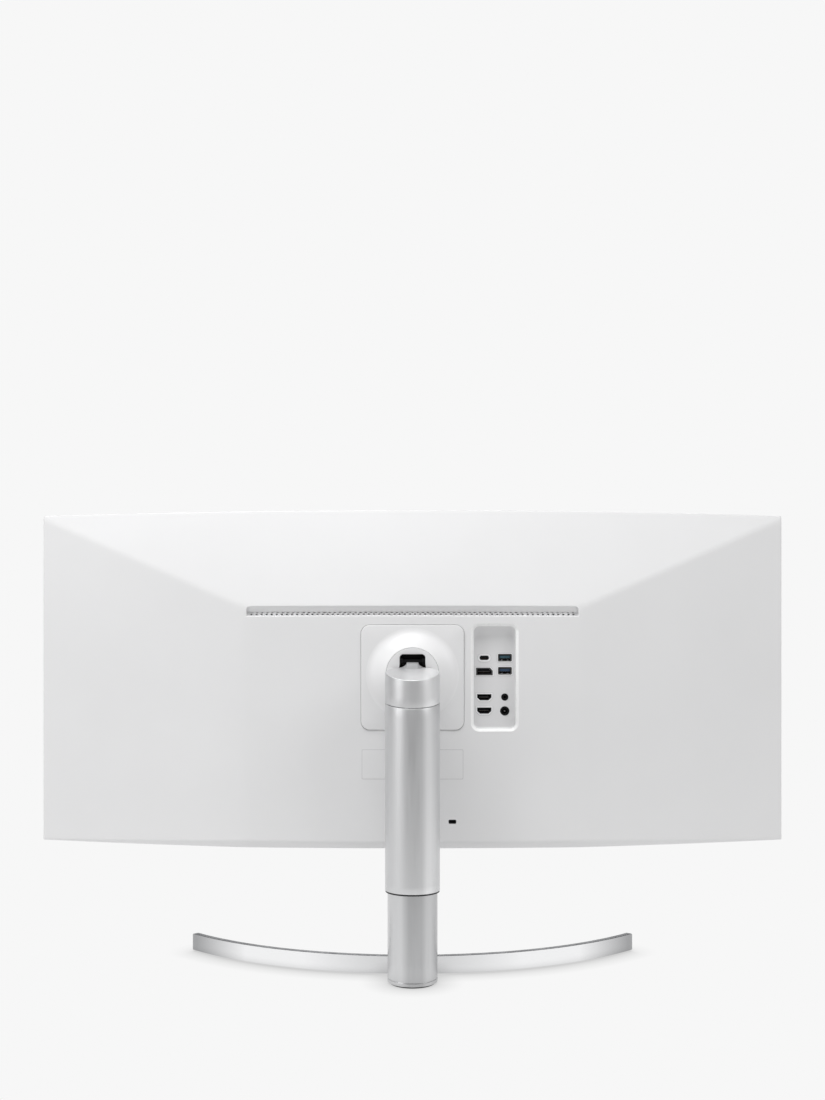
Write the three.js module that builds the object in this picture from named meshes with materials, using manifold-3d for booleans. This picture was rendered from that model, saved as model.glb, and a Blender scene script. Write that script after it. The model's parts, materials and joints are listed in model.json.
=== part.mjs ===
// Curved ultrawide computer monitor on a telescopic column with an arc-shaped base.
// Millimetres, +Z up. The screen faces -Y and the rear cover faces +Y.
// The origin lies on the desk, on the axis of the column.
import * as THREE from 'three';
import { mergeVertices } from 'three/addons/utils/BufferGeometryUtils.js';
import Module from 'manifold-3d';

const wasm = await Module();
wasm.setup();

// ---------------------------------------------------------------- driving dimensions
const GAP = 0.3;

// Head: outline, curvature and thickness
const HEAD_WIDTH = 896;
const HEAD_HEIGHT = 393;
const HEAD_BOTTOM = 137;
const HEAD_TOP = HEAD_BOTTOM + HEAD_HEIGHT;
const HEAD_HALF = HEAD_WIDTH / 2;
const CURVE_RADIUS = 2300;
const EDGE_REAR_Y = -86.4; // rear line of the frame at mid width
const CURVE_STEPS = 16;

// Layers of the display, as offsets from the curved rear line of the frame
const FRAME_FRONT = -14.3;
const FRAME_REAR = -5.3;
const FRAME_WIDTH = 4;
const PANEL_MARGIN = FRAME_WIDTH + 0.4;
const CHIN_HEIGHT = 15;
const LED_STRIP_HEIGHT = 2.5;
const PANEL_LAYER = [-14, -12.2];
const GUIDE_LAYER = [-11.9, -8.9];
const CHASSIS_LAYER = [-8.6, -7.4];

// Rear cover: plateau in the middle, sloping facets around it
const COVER_RIM = -5;
const COVER_DEPTH = 33;
const COVER_EDGE_DEPTH = 1;
const COVER_WALL = 2.2;
const PLATEAU_HALF = 194;
const CREASE_Z = 414.5;
const CHAMFER_SHARE = 0.2;
const CHAMFER_SLOPE = 0.9;
const COVER_REACH = [-90, -40]; // from in front of the cover's skin to behind it

// Vent slot at the top of the plateau
const VENT_HALF = 191;
const VENT_HEIGHT = 10;
const VENT_SLOTS = 15;
const VENT_EDGE = 2;
const VENT_TROUGH = 6;

// Security slot and label under the mount
const LOCK_X = -45.6;
const LOCK_Z = 168.5;
const LOCK_SIZE = [8.2, 4];
const LOCK_OPENING = [6.8, 2.8];
const LABEL_HALF = 57.5;
const LABEL_Z = [217.6, 250.6];
const LABEL_THICKNESS = 0.4;

// Stand mount: rounded square plate on the 100 mm screw pattern
const MOUNT_Z = 333.5;
const MOUNT_SIZE = 120;
const MOUNT_CORNER = 10;
const MOUNT_REAR_Y = -52.4;
const SCREW_PITCH = 100;
const SCREW_RADIUS = 2;
const SCREW_HEAD_RADIUS = 4;
const VESA_HALF = 65.5;
const VESA_REAR_Y = -57.7;
const VESA_FRONT_Y = -94;

// Port bay beside the mount
const BAY_X = -94.2;
const BAY_WIDTH = 53;
const BAY_FLOOR_Y = -67.3;
const BAY_WALL = 1.6;
const BAY_RIM = 0.35;
const RAMP_FOOT = 13;
const RAMP_RISE = 15;

// Circuit boards behind the chassis tray
const BOARD_REAR_Y = -80;
const BOARD_THICKNESS = 1.6;
const MAIN_BOARD = { x: [-165, -68], z: [205, 395] };
const DRIVER_BOARD = { x: [80, 190], z: [220, 380] };

// Speakers at both lower corners
const SPEAKER_X = [235, 325];
const SPEAKER_Z = [150, 188];
const SPEAKER_MOUTH = [260, 300];

// Tilt hinge inside the dome
const HINGE_Y = -45.5;
const HINGE_Z = 352;
const SHAFT_RADIUS = 3.5;
const BARREL_RADIUS = 6;
const BARREL_HALF = 11;
const ARM_HALF = 6.7;
const ARM_TOP = 350.8;
const ARM_BOTTOM = 344.8;
const ARM_REAR_Y = -16;
const CHEEK_INNER = 13.8;
const CHEEK_OUTER = 16.8;
const SHAFT_HALF = 25;
const SPRING_RADIUS = 4.6;
const SPRING_WIRE = 0.7;
const SPRING_TURNS = 2.5;

// Bell around the hinge, flaring from a flat round window plate down to the mount cover
const DOME_Z = 337;
const DOME_RADIUS = 53;
const DOME_LIP = 0.8;
const DOME_WALL = 2;
const DOME_FLARE = 1.8;
const WINDOW_RADIUS = 31;
const WINDOW_REAR_Y = -36.6;
const WINDOW_HALF = 14.5;
const WINDOW_Z = [338, 359.6];

// Column: fixed inner tube, telescopic outer tube and slanted cap
const OUTER_RADIUS = 30;
const OUTER_BORE = 28.2;
const INNER_RADIUS = 27.3;
const INNER_BORE = 25.3;
const OUTER_BOTTOM = 101.1;
const INNER_TOP = 202;
const SEAM_Z = 306.3;
const SEAM_SLOPE = 0.217;
const CAP_Z = 339.2;
const CAP_SLOPE = 0.3;
const COLUMN_SIDES = 36;
const GLIDE_HEIGHT = 1.4;

// Lift inside the column, at its rest height
const CARRIAGE_TOP = 277.4;
const CARRIAGE_BOTTOM = 130;
const CARRIAGE_PLATE = 5;
const HUB_BOTTOM = 280;
const HUB_TOP = 298;
const NUT_TOP = HUB_TOP + 6;
const SPINDLE_TOP = HUB_TOP + 9;
const SPINDLE_RADIUS = 8;
const SPRING_BOTTOM = 18;
const SPRING_TOP = 150;

// Base
const ARC_RADIUS = 384;
const ARC_REAR_Y = -27.7;
const ARC_HALF_ANGLE = THREE.MathUtils.degToRad(44.5);
const ARC_HEIGHT = 21.5;
const ARC_DEPTH = 24;
const ARC_END_ROUND = 2.5;
const PAD_HEIGHT = 1.5;
const ARC_BOTTOM = PAD_HEIGHT + GAP;
const FOOT_TOP = 6.2;

// Menu stick under the middle of the head
const STICK_Y = -77.5;
const STICK_PIVOT_Z = 146;
const STICK_HOLE = 9;
const STICK_RING = [10, 7.6];
const STICK_YOKE = [7, 3.4];

// ---------------------------------------------------------------- materials
function finish(color, roughness, metalness) {
  return new THREE.MeshStandardMaterial({ color, roughness, metalness });
}

const WHITE_PLASTIC = finish(0xe6e6e8, 0.5, 0);
const WHITE_SMOOTH = finish(0xf1f1f2, 0.38, 0);
const GREY_PLASTIC = finish(0xc9cacc, 0.5, 0);
const SILVER = finish(0xc6c7c9, 0.3, 0.9);
const STEEL = finish(0x9b9da0, 0.42, 0.9);
const DARK_PLASTIC = finish(0x2b2c2e, 0.6, 0);
const RUBBER = finish(0x1c1c1d, 0.85, 0);
const GLASS = finish(0x0b0c0e, 0.12, 0);
const CLEAR_SHEET = finish(0xdfe6ea, 0.2, 0);
const BOARD = finish(0x1f5a3a, 0.6, 0.05);
const USB_BLUE = finish(0x22405c, 0.5, 0);

// ---------------------------------------------------------------- solids
function toSolid(geometry) {
  const bare = geometry.clone();
  for (const name of Object.keys(bare.attributes)) {
    if (name !== 'position') bare.deleteAttribute(name);
  }
  const merged = mergeVertices(bare, 1e-4);
  return new wasm.Manifold(new wasm.Mesh({
    numProp: 3,
    vertProperties: new Float32Array(merged.attributes.position.array),
    triVerts: new Uint32Array(merged.index.array),
  }));
}

function toGeometry(solid) {
  const mesh = solid.getMesh();
  const geometry = new THREE.BufferGeometry();
  geometry.setAttribute('position', new THREE.BufferAttribute(mesh.vertProperties, 3));
  geometry.setIndex(new THREE.BufferAttribute(mesh.triVerts, 1));
  geometry.computeVertexNormals();
  return geometry;
}

function box(x, y, z) {
  const geometry = new THREE.BoxGeometry(x[1] - x[0], y[1] - y[0], z[1] - z[0]);
  geometry.translate((x[0] + x[1]) / 2, (y[0] + y[1]) / 2, (z[0] + z[1]) / 2);
  return toSolid(geometry);
}

// Cylinder along X, Y or Z between two places on that axis.
function rod(axis, radius, [from, to], centre, sides = 20) {
  const geometry = new THREE.CylinderGeometry(radius, radius, to - from, sides);
  const turn = { x: [0, 0, Math.PI / 2], y: [0, 0, 0], z: [Math.PI / 2, 0, 0] }[axis];
  geometry.rotateX(turn[0]);
  geometry.rotateZ(turn[2]);
  const place = new THREE.Vector3(...centre);
  place[axis] = (from + to) / 2;
  geometry.translate(place.x, place.y, place.z);
  return toSolid(geometry);
}

function ring(axis, outer, bore, span, centre, sides = 20) {
  const cut = [span[0] - 1, span[1] + 1];
  return rod(axis, outer, span, centre, sides).subtract(rod(axis, bore, cut, centre, sides));
}

function extruded(shape, depth, curveSegments) {
  return new THREE.ExtrudeGeometry(shape, { depth, bevelEnabled: false, curveSegments });
}

// Outline in X and Z, made into a plate between two places on Y.
function plateY(shape, [from, to], curveSegments = 4) {
  const geometry = extruded(shape, to - from, curveSegments);
  geometry.rotateX(Math.PI / 2);
  geometry.translate(0, to, 0);
  return toSolid(geometry);
}

// Outline in Y and Z, made into a bar between two places on X.
function barX(shape, [from, to], curveSegments = 8) {
  const geometry = extruded(shape, to - from, curveSegments);
  const turn = new THREE.Matrix4().makeBasis(
    new THREE.Vector3(0, 1, 0),
    new THREE.Vector3(0, 0, 1),
    new THREE.Vector3(1, 0, 0),
  );
  geometry.applyMatrix4(turn);
  geometry.translate(from, 0, 0);
  return toSolid(geometry);
}

function polygon(points) {
  return new THREE.Shape(points.map(([u, v]) => new THREE.Vector2(u, v)));
}

function roundedRect(cx, cz, width, height, radius) {
  const [a, b] = [width / 2, height / 2];
  const shape = new THREE.Shape();
  shape.moveTo(cx - a + radius, cz - b);
  shape.lineTo(cx + a - radius, cz - b);
  shape.absarc(cx + a - radius, cz - b + radius, radius, -Math.PI / 2, 0, false);
  shape.lineTo(cx + a, cz + b - radius);
  shape.absarc(cx + a - radius, cz + b - radius, radius, 0, Math.PI / 2, false);
  shape.lineTo(cx - a + radius, cz + b);
  shape.absarc(cx - a + radius, cz + b - radius, radius, Math.PI / 2, Math.PI, false);
  shape.lineTo(cx - a, cz - b + radius);
  shape.absarc(cx - a + radius, cz - b + radius, radius, Math.PI, Math.PI * 1.5, false);
  return shape;
}

// Closed body through a row of rings that all have the same number of points.
function loft(rings) {
  const count = rings[0].length;
  const last = (rings.length - 1) * count;
  const index = [];
  for (let r = 0; r < rings.length - 1; r += 1) {
    for (let p = 0; p < count; p += 1) {
      const a = r * count + p;
      const b = r * count + (p + 1) % count;
      index.push(a, b, b + count, a, b + count, a + count);
    }
  }
  for (let p = 1; p < count - 1; p += 1) {
    index.push(0, p + 1, p);
    index.push(last, last + p, last + p + 1);
  }
  const geometry = new THREE.BufferGeometry();
  geometry.setAttribute('position', new THREE.Float32BufferAttribute(rings.flat(2), 3));
  geometry.setIndex(index);
  return toSolid(geometry);
}

// The same span on either side of the middle, in rising order.
function onSide(sign, [near, far]) {
  return [sign * near, sign * far].sort((a, b) => a - b);
}

function around(centre, half) {
  return [centre - half, centre + half];
}

function spread(from, to, steps) {
  return Array.from({ length: steps + 1 }, (_, i) => from + (to - from) * (i / steps));
}

// The half space below a plane that leans along Y, as a large wedge.
function belowPlane(zAtAxis, slope) {
  const reach = 100;
  return barX(polygon([
    [-reach, -reach],
    [reach, -reach],
    [reach, zAtAxis - slope * reach],
    [-reach, zAtAxis + slope * reach],
  ]), [-reach, reach]);
}

// ---------------------------------------------------------------- the curve of the head
function frameY(x) {
  return EDGE_REAR_Y - (CURVE_RADIUS - Math.sqrt(CURVE_RADIUS ** 2 - x * x));
}

// Slab that follows the curve of the head between two offsets from it.
function curvedSlab([x0, x1], [near, far], [z0, z1], steps = CURVE_STEPS) {
  return loft(spread(x0, x1, steps).map((x) => {
    const y = frameY(x);
    return [[x, y + near, z0], [x, y + far, z0], [x, y + far, z1], [x, y + near, z1]];
  }));
}

function coverSideDepth(x) {
  const share = (HEAD_HALF - Math.abs(x)) / (HEAD_HALF - PLATEAU_HALF);
  return COVER_EDGE_DEPTH + (COVER_DEPTH - COVER_EDGE_DEPTH) * Math.min(1, Math.max(0, share));
}

function coverDepth(x, z) {
  const side = coverSideDepth(x);
  const top = COVER_DEPTH * (HEAD_TOP - z) / (HEAD_TOP - CREASE_Z);
  const chamfer = (1 - CHAMFER_SHARE) * side + CHAMFER_SLOPE * (z - HEAD_BOTTOM);
  return Math.min(side, top, chamfer);
}

// The solid under the rear cover's skin. The inset moves every wall inwards.
function coverBody(inset, front) {
  const half = HEAD_HALF - inset;
  const outerSteps = spread(PLATEAU_HALF, half, 6);
  const columns = [
    ...outerSteps.map((x) => -x).reverse(),
    ...spread(-PLATEAU_HALF, PLATEAU_HALF, 8).slice(1, -1),
    ...outerSteps,
  ];
  return loft(columns.map((x) => {
    const side = coverSideDepth(x);
    const bottom = HEAD_BOTTOM + inset;
    const top = HEAD_TOP - inset;
    const chamferTop = bottom + CHAMFER_SHARE * side / CHAMFER_SLOPE;
    const crease = HEAD_TOP - (HEAD_TOP - CREASE_Z) * side / COVER_DEPTH - inset / 3;
    const rear = [bottom, chamferTop, crease, top].map((z) => {
      return [x, frameY(x) + coverDepth(x, z) - inset, z];
    });
    return [[x, frameY(x) + front, bottom], ...rear, [x, frameY(x) + front, top]];
  }));
}

// ---------------------------------------------------------------- assembly
const monitor = new THREE.Group();
monitor.name = 'computer_monitor';

function add(name, solid, material) {
  const mesh = new THREE.Mesh(toGeometry(solid), material);
  mesh.name = name;
  monitor.add(mesh);
}

// ---------------------------------------------------------------- display stack
function displayStack() {
  const inner = HEAD_HALF - PANEL_MARGIN;
  const panelZ = [HEAD_BOTTOM + CHIN_HEIGHT + GAP, HEAD_TOP - PANEL_MARGIN];
  const trayZ = [HEAD_BOTTOM + PANEL_MARGIN, HEAD_TOP - PANEL_MARGIN];
  const headZ = [HEAD_BOTTOM, HEAD_TOP];
  const frameOuter = curvedSlab([-HEAD_HALF, HEAD_HALF], [FRAME_FRONT, FRAME_REAR], headZ);
  const opening = HEAD_HALF - FRAME_WIDTH;
  const frameInner = curvedSlab(
    [-opening, opening],
    [FRAME_FRONT - 1, FRAME_REAR + 1],
    [HEAD_BOTTOM + FRAME_WIDTH, HEAD_TOP - FRAME_WIDTH],
  );
  add('middle_frame', frameOuter.subtract(frameInner), WHITE_PLASTIC);
  add('lcd_panel', curvedSlab([-inner, inner], PANEL_LAYER, panelZ), GLASS);
  add('light_guide', curvedSlab([-inner, inner], GUIDE_LAYER, panelZ), CLEAR_SHEET);
  const stripTop = HEAD_BOTTOM + CHIN_HEIGHT;
  const stripZ = [stripTop - LED_STRIP_HEIGHT, stripTop];
  add('led_strip', curvedSlab([-inner, inner], GUIDE_LAYER, stripZ), STEEL);
  add('chassis_tray', curvedSlab([-inner, inner], CHASSIS_LAYER, trayZ), STEEL);
  const chinZ = [HEAD_BOTTOM + PANEL_MARGIN, HEAD_BOTTOM + CHIN_HEIGHT];
  add('chin_trim', curvedSlab([-inner, inner], [FRAME_FRONT, PANEL_LAYER[1]], chinZ), WHITE_PLASTIC);
}

// ---------------------------------------------------------------- rear cover and what fits in it
function rearCover() {
  const mountHole = roundedRect(0, MOUNT_Z, MOUNT_SIZE + 0.8, MOUNT_SIZE + 0.8, MOUNT_CORNER + 0.4);
  const bayHole = roundedRect(BAY_X, MOUNT_Z, BAY_WIDTH, MOUNT_SIZE + 2, MOUNT_CORNER - 1);
  const lockX = around(LOCK_X, LOCK_SIZE[0] / 2 + GAP);
  const lockZ = around(LOCK_Z, LOCK_SIZE[1] / 2 + GAP);
  const cover = coverBody(0, COVER_RIM)
    .subtract(coverBody(COVER_WALL, COVER_RIM - 2))
    .subtract(plateY(mountHole, COVER_REACH))
    .subtract(plateY(bayHole, COVER_REACH))
    .subtract(box([-VENT_HALF, VENT_HALF], COVER_REACH, [CREASE_Z - VENT_HEIGHT, CREASE_Z]))
    .subtract(box(lockX, COVER_REACH, lockZ))
    .subtract(rod('z', STICK_HOLE, around(HEAD_BOTTOM, 5), [0, STICK_Y, 0]));
  add('rear_cover', cover, WHITE_PLASTIC);
}

function ventGrille() {
  const rear = COVER_DEPTH - COVER_WALL - 1;
  const floor = rear - VENT_TROUGH;
  const half = VENT_HALF + VENT_EDGE;
  const trough = [CREASE_Z - VENT_HEIGHT, CREASE_Z];
  const z = [trough[0] - VENT_EDGE, trough[1] + VENT_EDGE];
  let grille = curvedSlab([-half, half], [floor - 2, rear], z);
  grille = grille.subtract(curvedSlab([-VENT_HALF, VENT_HALF], [floor, rear + 2], trough));
  const pitch = 2 * VENT_HALF / VENT_SLOTS;
  const slotZ = [trough[0] + 2, trough[0] + 5];
  for (let i = 0; i < VENT_SLOTS; i += 1) {
    const x = -VENT_HALF + pitch * (i + 0.5);
    grille = grille.subtract(box(around(x, pitch / 3), COVER_REACH, slotZ));
  }
  add('vent_grille', grille, WHITE_PLASTIC);
}

function portBay() {
  const outline = (shrink) => roundedRect(
    BAY_X,
    MOUNT_Z,
    BAY_WIDTH - 2 * shrink,
    MOUNT_SIZE + 2 - 2 * shrink,
    MOUNT_CORNER - 1 - shrink,
  );
  const rampFoot = MOUNT_Z + MOUNT_SIZE / 2 - RAMP_FOOT;
  const rampTop = rampFoot + 40;
  const ramp = barX(polygon([
    [BAY_FLOOR_Y - 1, rampFoot],
    [-50, rampFoot + RAMP_RISE],
    [-50, rampTop],
    [BAY_FLOOR_Y - 1, rampTop],
  ]), around(BAY_X, BAY_WIDTH));
  const pocket = plateY(outline(BAY_RIM + BAY_WALL), [BAY_FLOOR_Y, -40]).subtract(ramp);
  let bay = plateY(outline(BAY_RIM), [BAY_FLOOR_Y - 2, -40]).subtract(pocket);
  bay = bay.intersect(coverBody(0, COVER_RIM));
  const throughFloor = [BAY_FLOOR_Y - 10, BAY_FLOOR_Y + 2];
  for (const port of PORTS) {
    bay = bay.subtract(portPlate(port, BAY_RIM, throughFloor));
  }
  add('port_bay', bay, WHITE_PLASTIC);
}

// Sockets stand on the main board and show in the floor of the bay.
const USB_A = { width: 14.5, height: 7.2, round: 0.6, tongue: [11, 1.9] };
const HDMI = { width: 15.6, height: 6.2, taper: [3.2, 2.7], tongue: [10.5, 1.1] };
const PORTS = [
  { name: 'port_usb_c', x: -82.9, z: 356.2, width: 9.4, height: 3.6, round: 1.7, tongue: [6.4, 0.7] },
  { name: 'port_usb_a_upper', x: -106.8, z: 356.4, ...USB_A },
  { name: 'port_usb_a_lower', x: -106.8, z: 341.2, ...USB_A },
  { name: 'port_displayport', x: -83.1, z: 340.4, width: 17.6, height: 7.2, key: 3, tongue: [12, 1.4] },
  { name: 'port_hdmi_upper', x: -82.9, z: 310.7, ...HDMI },
  { name: 'port_hdmi_lower', x: -82.9, z: 295.2, ...HDMI },
  { name: 'port_headphone', x: -106.6, z: 310.9, radius: 4.1, bore: 1.8 },
  { name: 'port_dc_in', x: -106.6, z: 294.9, radius: 5.2, bore: 3.4, pin: 1 },
];

// A port's outline grown by a margin, as a plate between two places on Y.
function portPlate(port, grow, span) {
  if (port.radius) return rod('y', port.radius + grow, span, [port.x, 0, port.z], 20);
  const width = port.width + 2 * grow;
  const height = port.height + 2 * grow;
  if (port.round) {
    return plateY(roundedRect(port.x, port.z, width, height, port.round + grow), span, 3);
  }
  const [a, b] = [width / 2, height / 2];
  let outline = [[-a, -b], [a, -b], [a, b], [-a + port.key, b], [-a, b - port.key]];
  if (port.taper) {
    const [across, up] = port.taper;
    outline = [[-a + across, -b], [a - across, -b], [a, -b + up], [a, b], [-a, b], [-a, -b + up]];
  }
  return plateY(polygon(outline.map(([u, v]) => [port.x + u, port.z + v])), span);
}

function portSockets() {
  const span = [BOARD_REAR_Y + GAP, BAY_FLOOR_Y + 0.4];
  const mouth = [BOARD_REAR_Y + 3, BAY_FLOOR_Y + 2];
  const tongueSpan = [BOARD_REAR_Y + 2, BAY_FLOOR_Y - 0.8];
  const wall = 0.5;
  for (const port of PORTS) {
    let socket = portPlate(port, 0, span);
    if (port.radius) {
      socket = socket.subtract(rod('y', port.bore, mouth, [port.x, 0, port.z], 16));
      if (port.pin) socket = socket.add(rod('y', port.pin, tongueSpan, [port.x, 0, port.z], 10));
    } else {
      const [w, h] = port.tongue;
      const tongue = box(around(port.x, w / 2), tongueSpan, around(port.z, h / 2));
      socket = socket.subtract(portPlate(port, -wall, mouth)).add(tongue);
    }
    add(port.name, socket, port.name.includes('usb_a') ? USB_BLUE : DARK_PLASTIC);
  }
}

function coverDetails() {
  const surface = COVER_DEPTH + GAP;
  const labelY = [surface, surface + LABEL_THICKNESS];
  add('label_plate', curvedSlab([-LABEL_HALF, LABEL_HALF], labelY, LABEL_Z, 6), GREY_PLASTIC);
  const outline = roundedRect(LOCK_X, LOCK_Z, ...LOCK_SIZE, 1);
  const slot = roundedRect(LOCK_X, LOCK_Z, ...LOCK_OPENING, 0.6);
  const insert = plateY(outline, [-62, -53.8]).subtract(plateY(slot, [-60, -50]));
  add('lock_slot', insert, STEEL);
}

// ---------------------------------------------------------------- electronics and speakers
function electronics() {
  const boardY = [BOARD_REAR_Y - BOARD_THICKNESS, BOARD_REAR_Y];
  const standing = (height) => [BOARD_REAR_Y - 0.2, BOARD_REAR_Y + height];
  const chips = [
    { x: -150, z: 230, size: 26, height: 4 },
    { x: -110, z: 225, size: 18, height: 9 },
    { x: -145, z: 270, size: 16, height: 6 },
    { x: -90, z: 250, size: 12, height: 5 },
  ];
  let mainBoard = box(MAIN_BOARD.x, boardY, MAIN_BOARD.z);
  for (const { x, z, size, height } of chips) {
    mainBoard = mainBoard.add(box(around(x, size / 2), standing(height), [z, z + size]));
  }
  add('main_board', mainBoard, BOARD);

  const coilBlock = box([95, 130], standing(14), [330, 365]);
  let driverBoard = box(DRIVER_BOARD.x, boardY, DRIVER_BOARD.z).add(coilBlock);
  for (const x of [150, 168]) {
    const capacitor = rod('y', 7, standing(15), [x, 0, 350], 16);
    const switcher = box(around(x, 6), standing(8), [240, 262]);
    driverBoard = driverBoard.add(capacitor).add(switcher);
  }
  add('led_driver_board', driverBoard, BOARD);
}

function speakers() {
  for (const [side, sign] of Object.entries({ left: -1, right: 1 })) {
    const mouth = curvedSlab(onSide(sign, SPEAKER_MOUTH), [-4.5, 5], [149, 160], 4);
    const body = curvedSlab(onSide(sign, SPEAKER_X), [-7, 7.5], SPEAKER_Z, 4).subtract(mouth);
    add(`speaker_box_${side}`, body, DARK_PLASTIC);
  }
}

// ---------------------------------------------------------------- stand mount on the head
function screwPlaces() {
  const half = SCREW_PITCH / 2;
  return [[-half, -half], [half, -half], [-half, half], [half, half]];
}

function standMount() {
  const screwHead = [-56.6, -55];
  const mountZ = around(MOUNT_Z, MOUNT_SIZE / 2);
  let bracket = plateY(roundedRect(0, MOUNT_Z, 112, 112, 6), [-57.4, -54.7], 3);
  let vesa = box([-VESA_HALF, VESA_HALF], [-60, VESA_REAR_Y], mountZ);
  for (const side of [-1, 1]) {
    const leg = onSide(side, [VESA_HALF - COVER_WALL, VESA_HALF]);
    vesa = vesa.add(box(leg, [VESA_FRONT_Y, VESA_REAR_Y], mountZ));
  }
  const clear = SCREW_RADIUS + 0.4;
  for (const [i, [dx, dz]] of screwPlaces().entries()) {
    const centre = [dx, 0, MOUNT_Z + dz];
    bracket = bracket.subtract(rod('y', clear, [-60, -54], centre, 16));
    bracket = bracket.subtract(rod('y', SCREW_HEAD_RADIUS + 0.4, [screwHead[0] - GAP, -54], centre, 16));
    vesa = vesa.subtract(rod('y', clear, [-62, -57], centre, 16));
    const screw = rod('y', SCREW_RADIUS, [-66, screwHead[1] - 1], centre, 12)
      .add(rod('y', SCREW_HEAD_RADIUS, screwHead, centre, 16));
    add(`mount_screw_${i + 1}`, screw, STEEL);
  }
  add('stand_bracket', bracket, STEEL);
  add('vesa_frame', vesa, STEEL);
  const outline = roundedRect(0, MOUNT_Z, MOUNT_SIZE, MOUNT_SIZE, MOUNT_CORNER);
  const plate = plateY(outline, [MOUNT_REAR_Y - 2, MOUNT_REAR_Y])
    .subtract(rod('y', 44, [-60, -50], [0, 0, DOME_Z], 40));
  add('mount_cover', plate, WHITE_PLASTIC);
}

// Solid bell, revolved about Y. A drop lowers the flared surface to leave a wall.
function domeBody(drop, base) {
  const foot = MOUNT_REAR_Y + GAP + DOME_LIP;
  const height = WINDOW_REAR_Y - foot;
  const flare = DOME_RADIUS - WINDOW_RADIUS;
  const profile = [new THREE.Vector2(0, base)];
  const steps = 8;
  for (let i = 0; i <= steps; i += 1) {
    const share = i / steps;
    const y = foot + height * share ** DOME_FLARE - drop;
    if (i === 0) profile.push(new THREE.Vector2(DOME_RADIUS, base));
    if (y > base + GAP) profile.push(new THREE.Vector2(DOME_RADIUS - flare * share, y));
    else profile[1].x = DOME_RADIUS - flare * share;
  }
  profile.push(new THREE.Vector2(0, WINDOW_REAR_Y - drop));
  const geometry = new THREE.LatheGeometry(profile, 40);
  geometry.translate(0, 0, DOME_Z);
  return toSolid(geometry);
}

function dome() {
  const base = MOUNT_REAR_Y + GAP;
  const centre = [0, 0, DOME_Z];
  const shell = domeBody(0, base)
    .subtract(domeBody(DOME_WALL, base - GAP))
    .subtract(rod('y', WINDOW_RADIUS - 1, [-60, 0], centre, 40));
  add('hinge_dome', shell, WHITE_SMOOTH);
  const plate = rod('y', WINDOW_RADIUS - 1 - GAP, [WINDOW_REAR_Y - 1.8, WINDOW_REAR_Y], centre, 40)
    .subtract(box([-WINDOW_HALF, WINDOW_HALF], [-60, 0], WINDOW_Z));
  add('hinge_window', plate, GREY_PLASTIC);
}

function tiltHinge() {
  const centre = [0, HINGE_Y, HINGE_Z];
  let fork = box([-24, 24], [-54.4, -52.2], [334, 368]);
  for (const side of [-1, 1]) {
    const cheek = onSide(side, [CHEEK_INNER, CHEEK_OUTER]);
    fork = fork.add(box(cheek, [-53, -38.8], around(HINGE_Z, 8)));
  }
  fork = fork.subtract(rod('x', SHAFT_RADIUS + GAP, [-30, 30], centre));
  add('hinge_fork', fork, STEEL);
  const head = rod('x', SHAFT_RADIUS + 1.3, [SHAFT_HALF - 0.7, SHAFT_HALF + 2], centre, 6);
  add('hinge_shaft', rod('x', SHAFT_RADIUS, [-SHAFT_HALF, SHAFT_HALF], centre).add(head), STEEL);
  for (const [side, sign] of Object.entries({ left: -1, right: 1 })) {
    const span = onSide(sign, [BARREL_HALF + GAP, CHEEK_INNER - GAP]);
    const washer = ring('x', BARREL_RADIUS, SHAFT_RADIUS + GAP, span, centre);
    add(`friction_washer_${side}`, washer, STEEL);
    add(`tilt_spring_${side}`, coil(sign), STEEL);
  }
}

// Torsion spring around the shaft, outside one cheek of the fork.
function coil(sign) {
  class Helix extends THREE.Curve {
    getPoint(t, target = new THREE.Vector3()) {
      const angle = t * Math.PI * 2 * SPRING_TURNS;
      const x = sign * (CHEEK_OUTER + 2 * SPRING_WIRE + t * 5);
      const [along, up] = [SPRING_RADIUS * Math.cos(angle), SPRING_RADIUS * Math.sin(angle)];
      return target.set(x, HINGE_Y + along, HINGE_Z + up);
    }
  }
  const wire = new THREE.Shape();
  wire.absarc(0, 0, SPRING_WIRE, 0, Math.PI * 2, false);
  const geometry = new THREE.ExtrudeGeometry(wire, {
    steps: 22,
    extrudePath: new Helix(),
    curveSegments: 3,
    bevelEnabled: false,
  });
  return toSolid(geometry);
}

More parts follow.
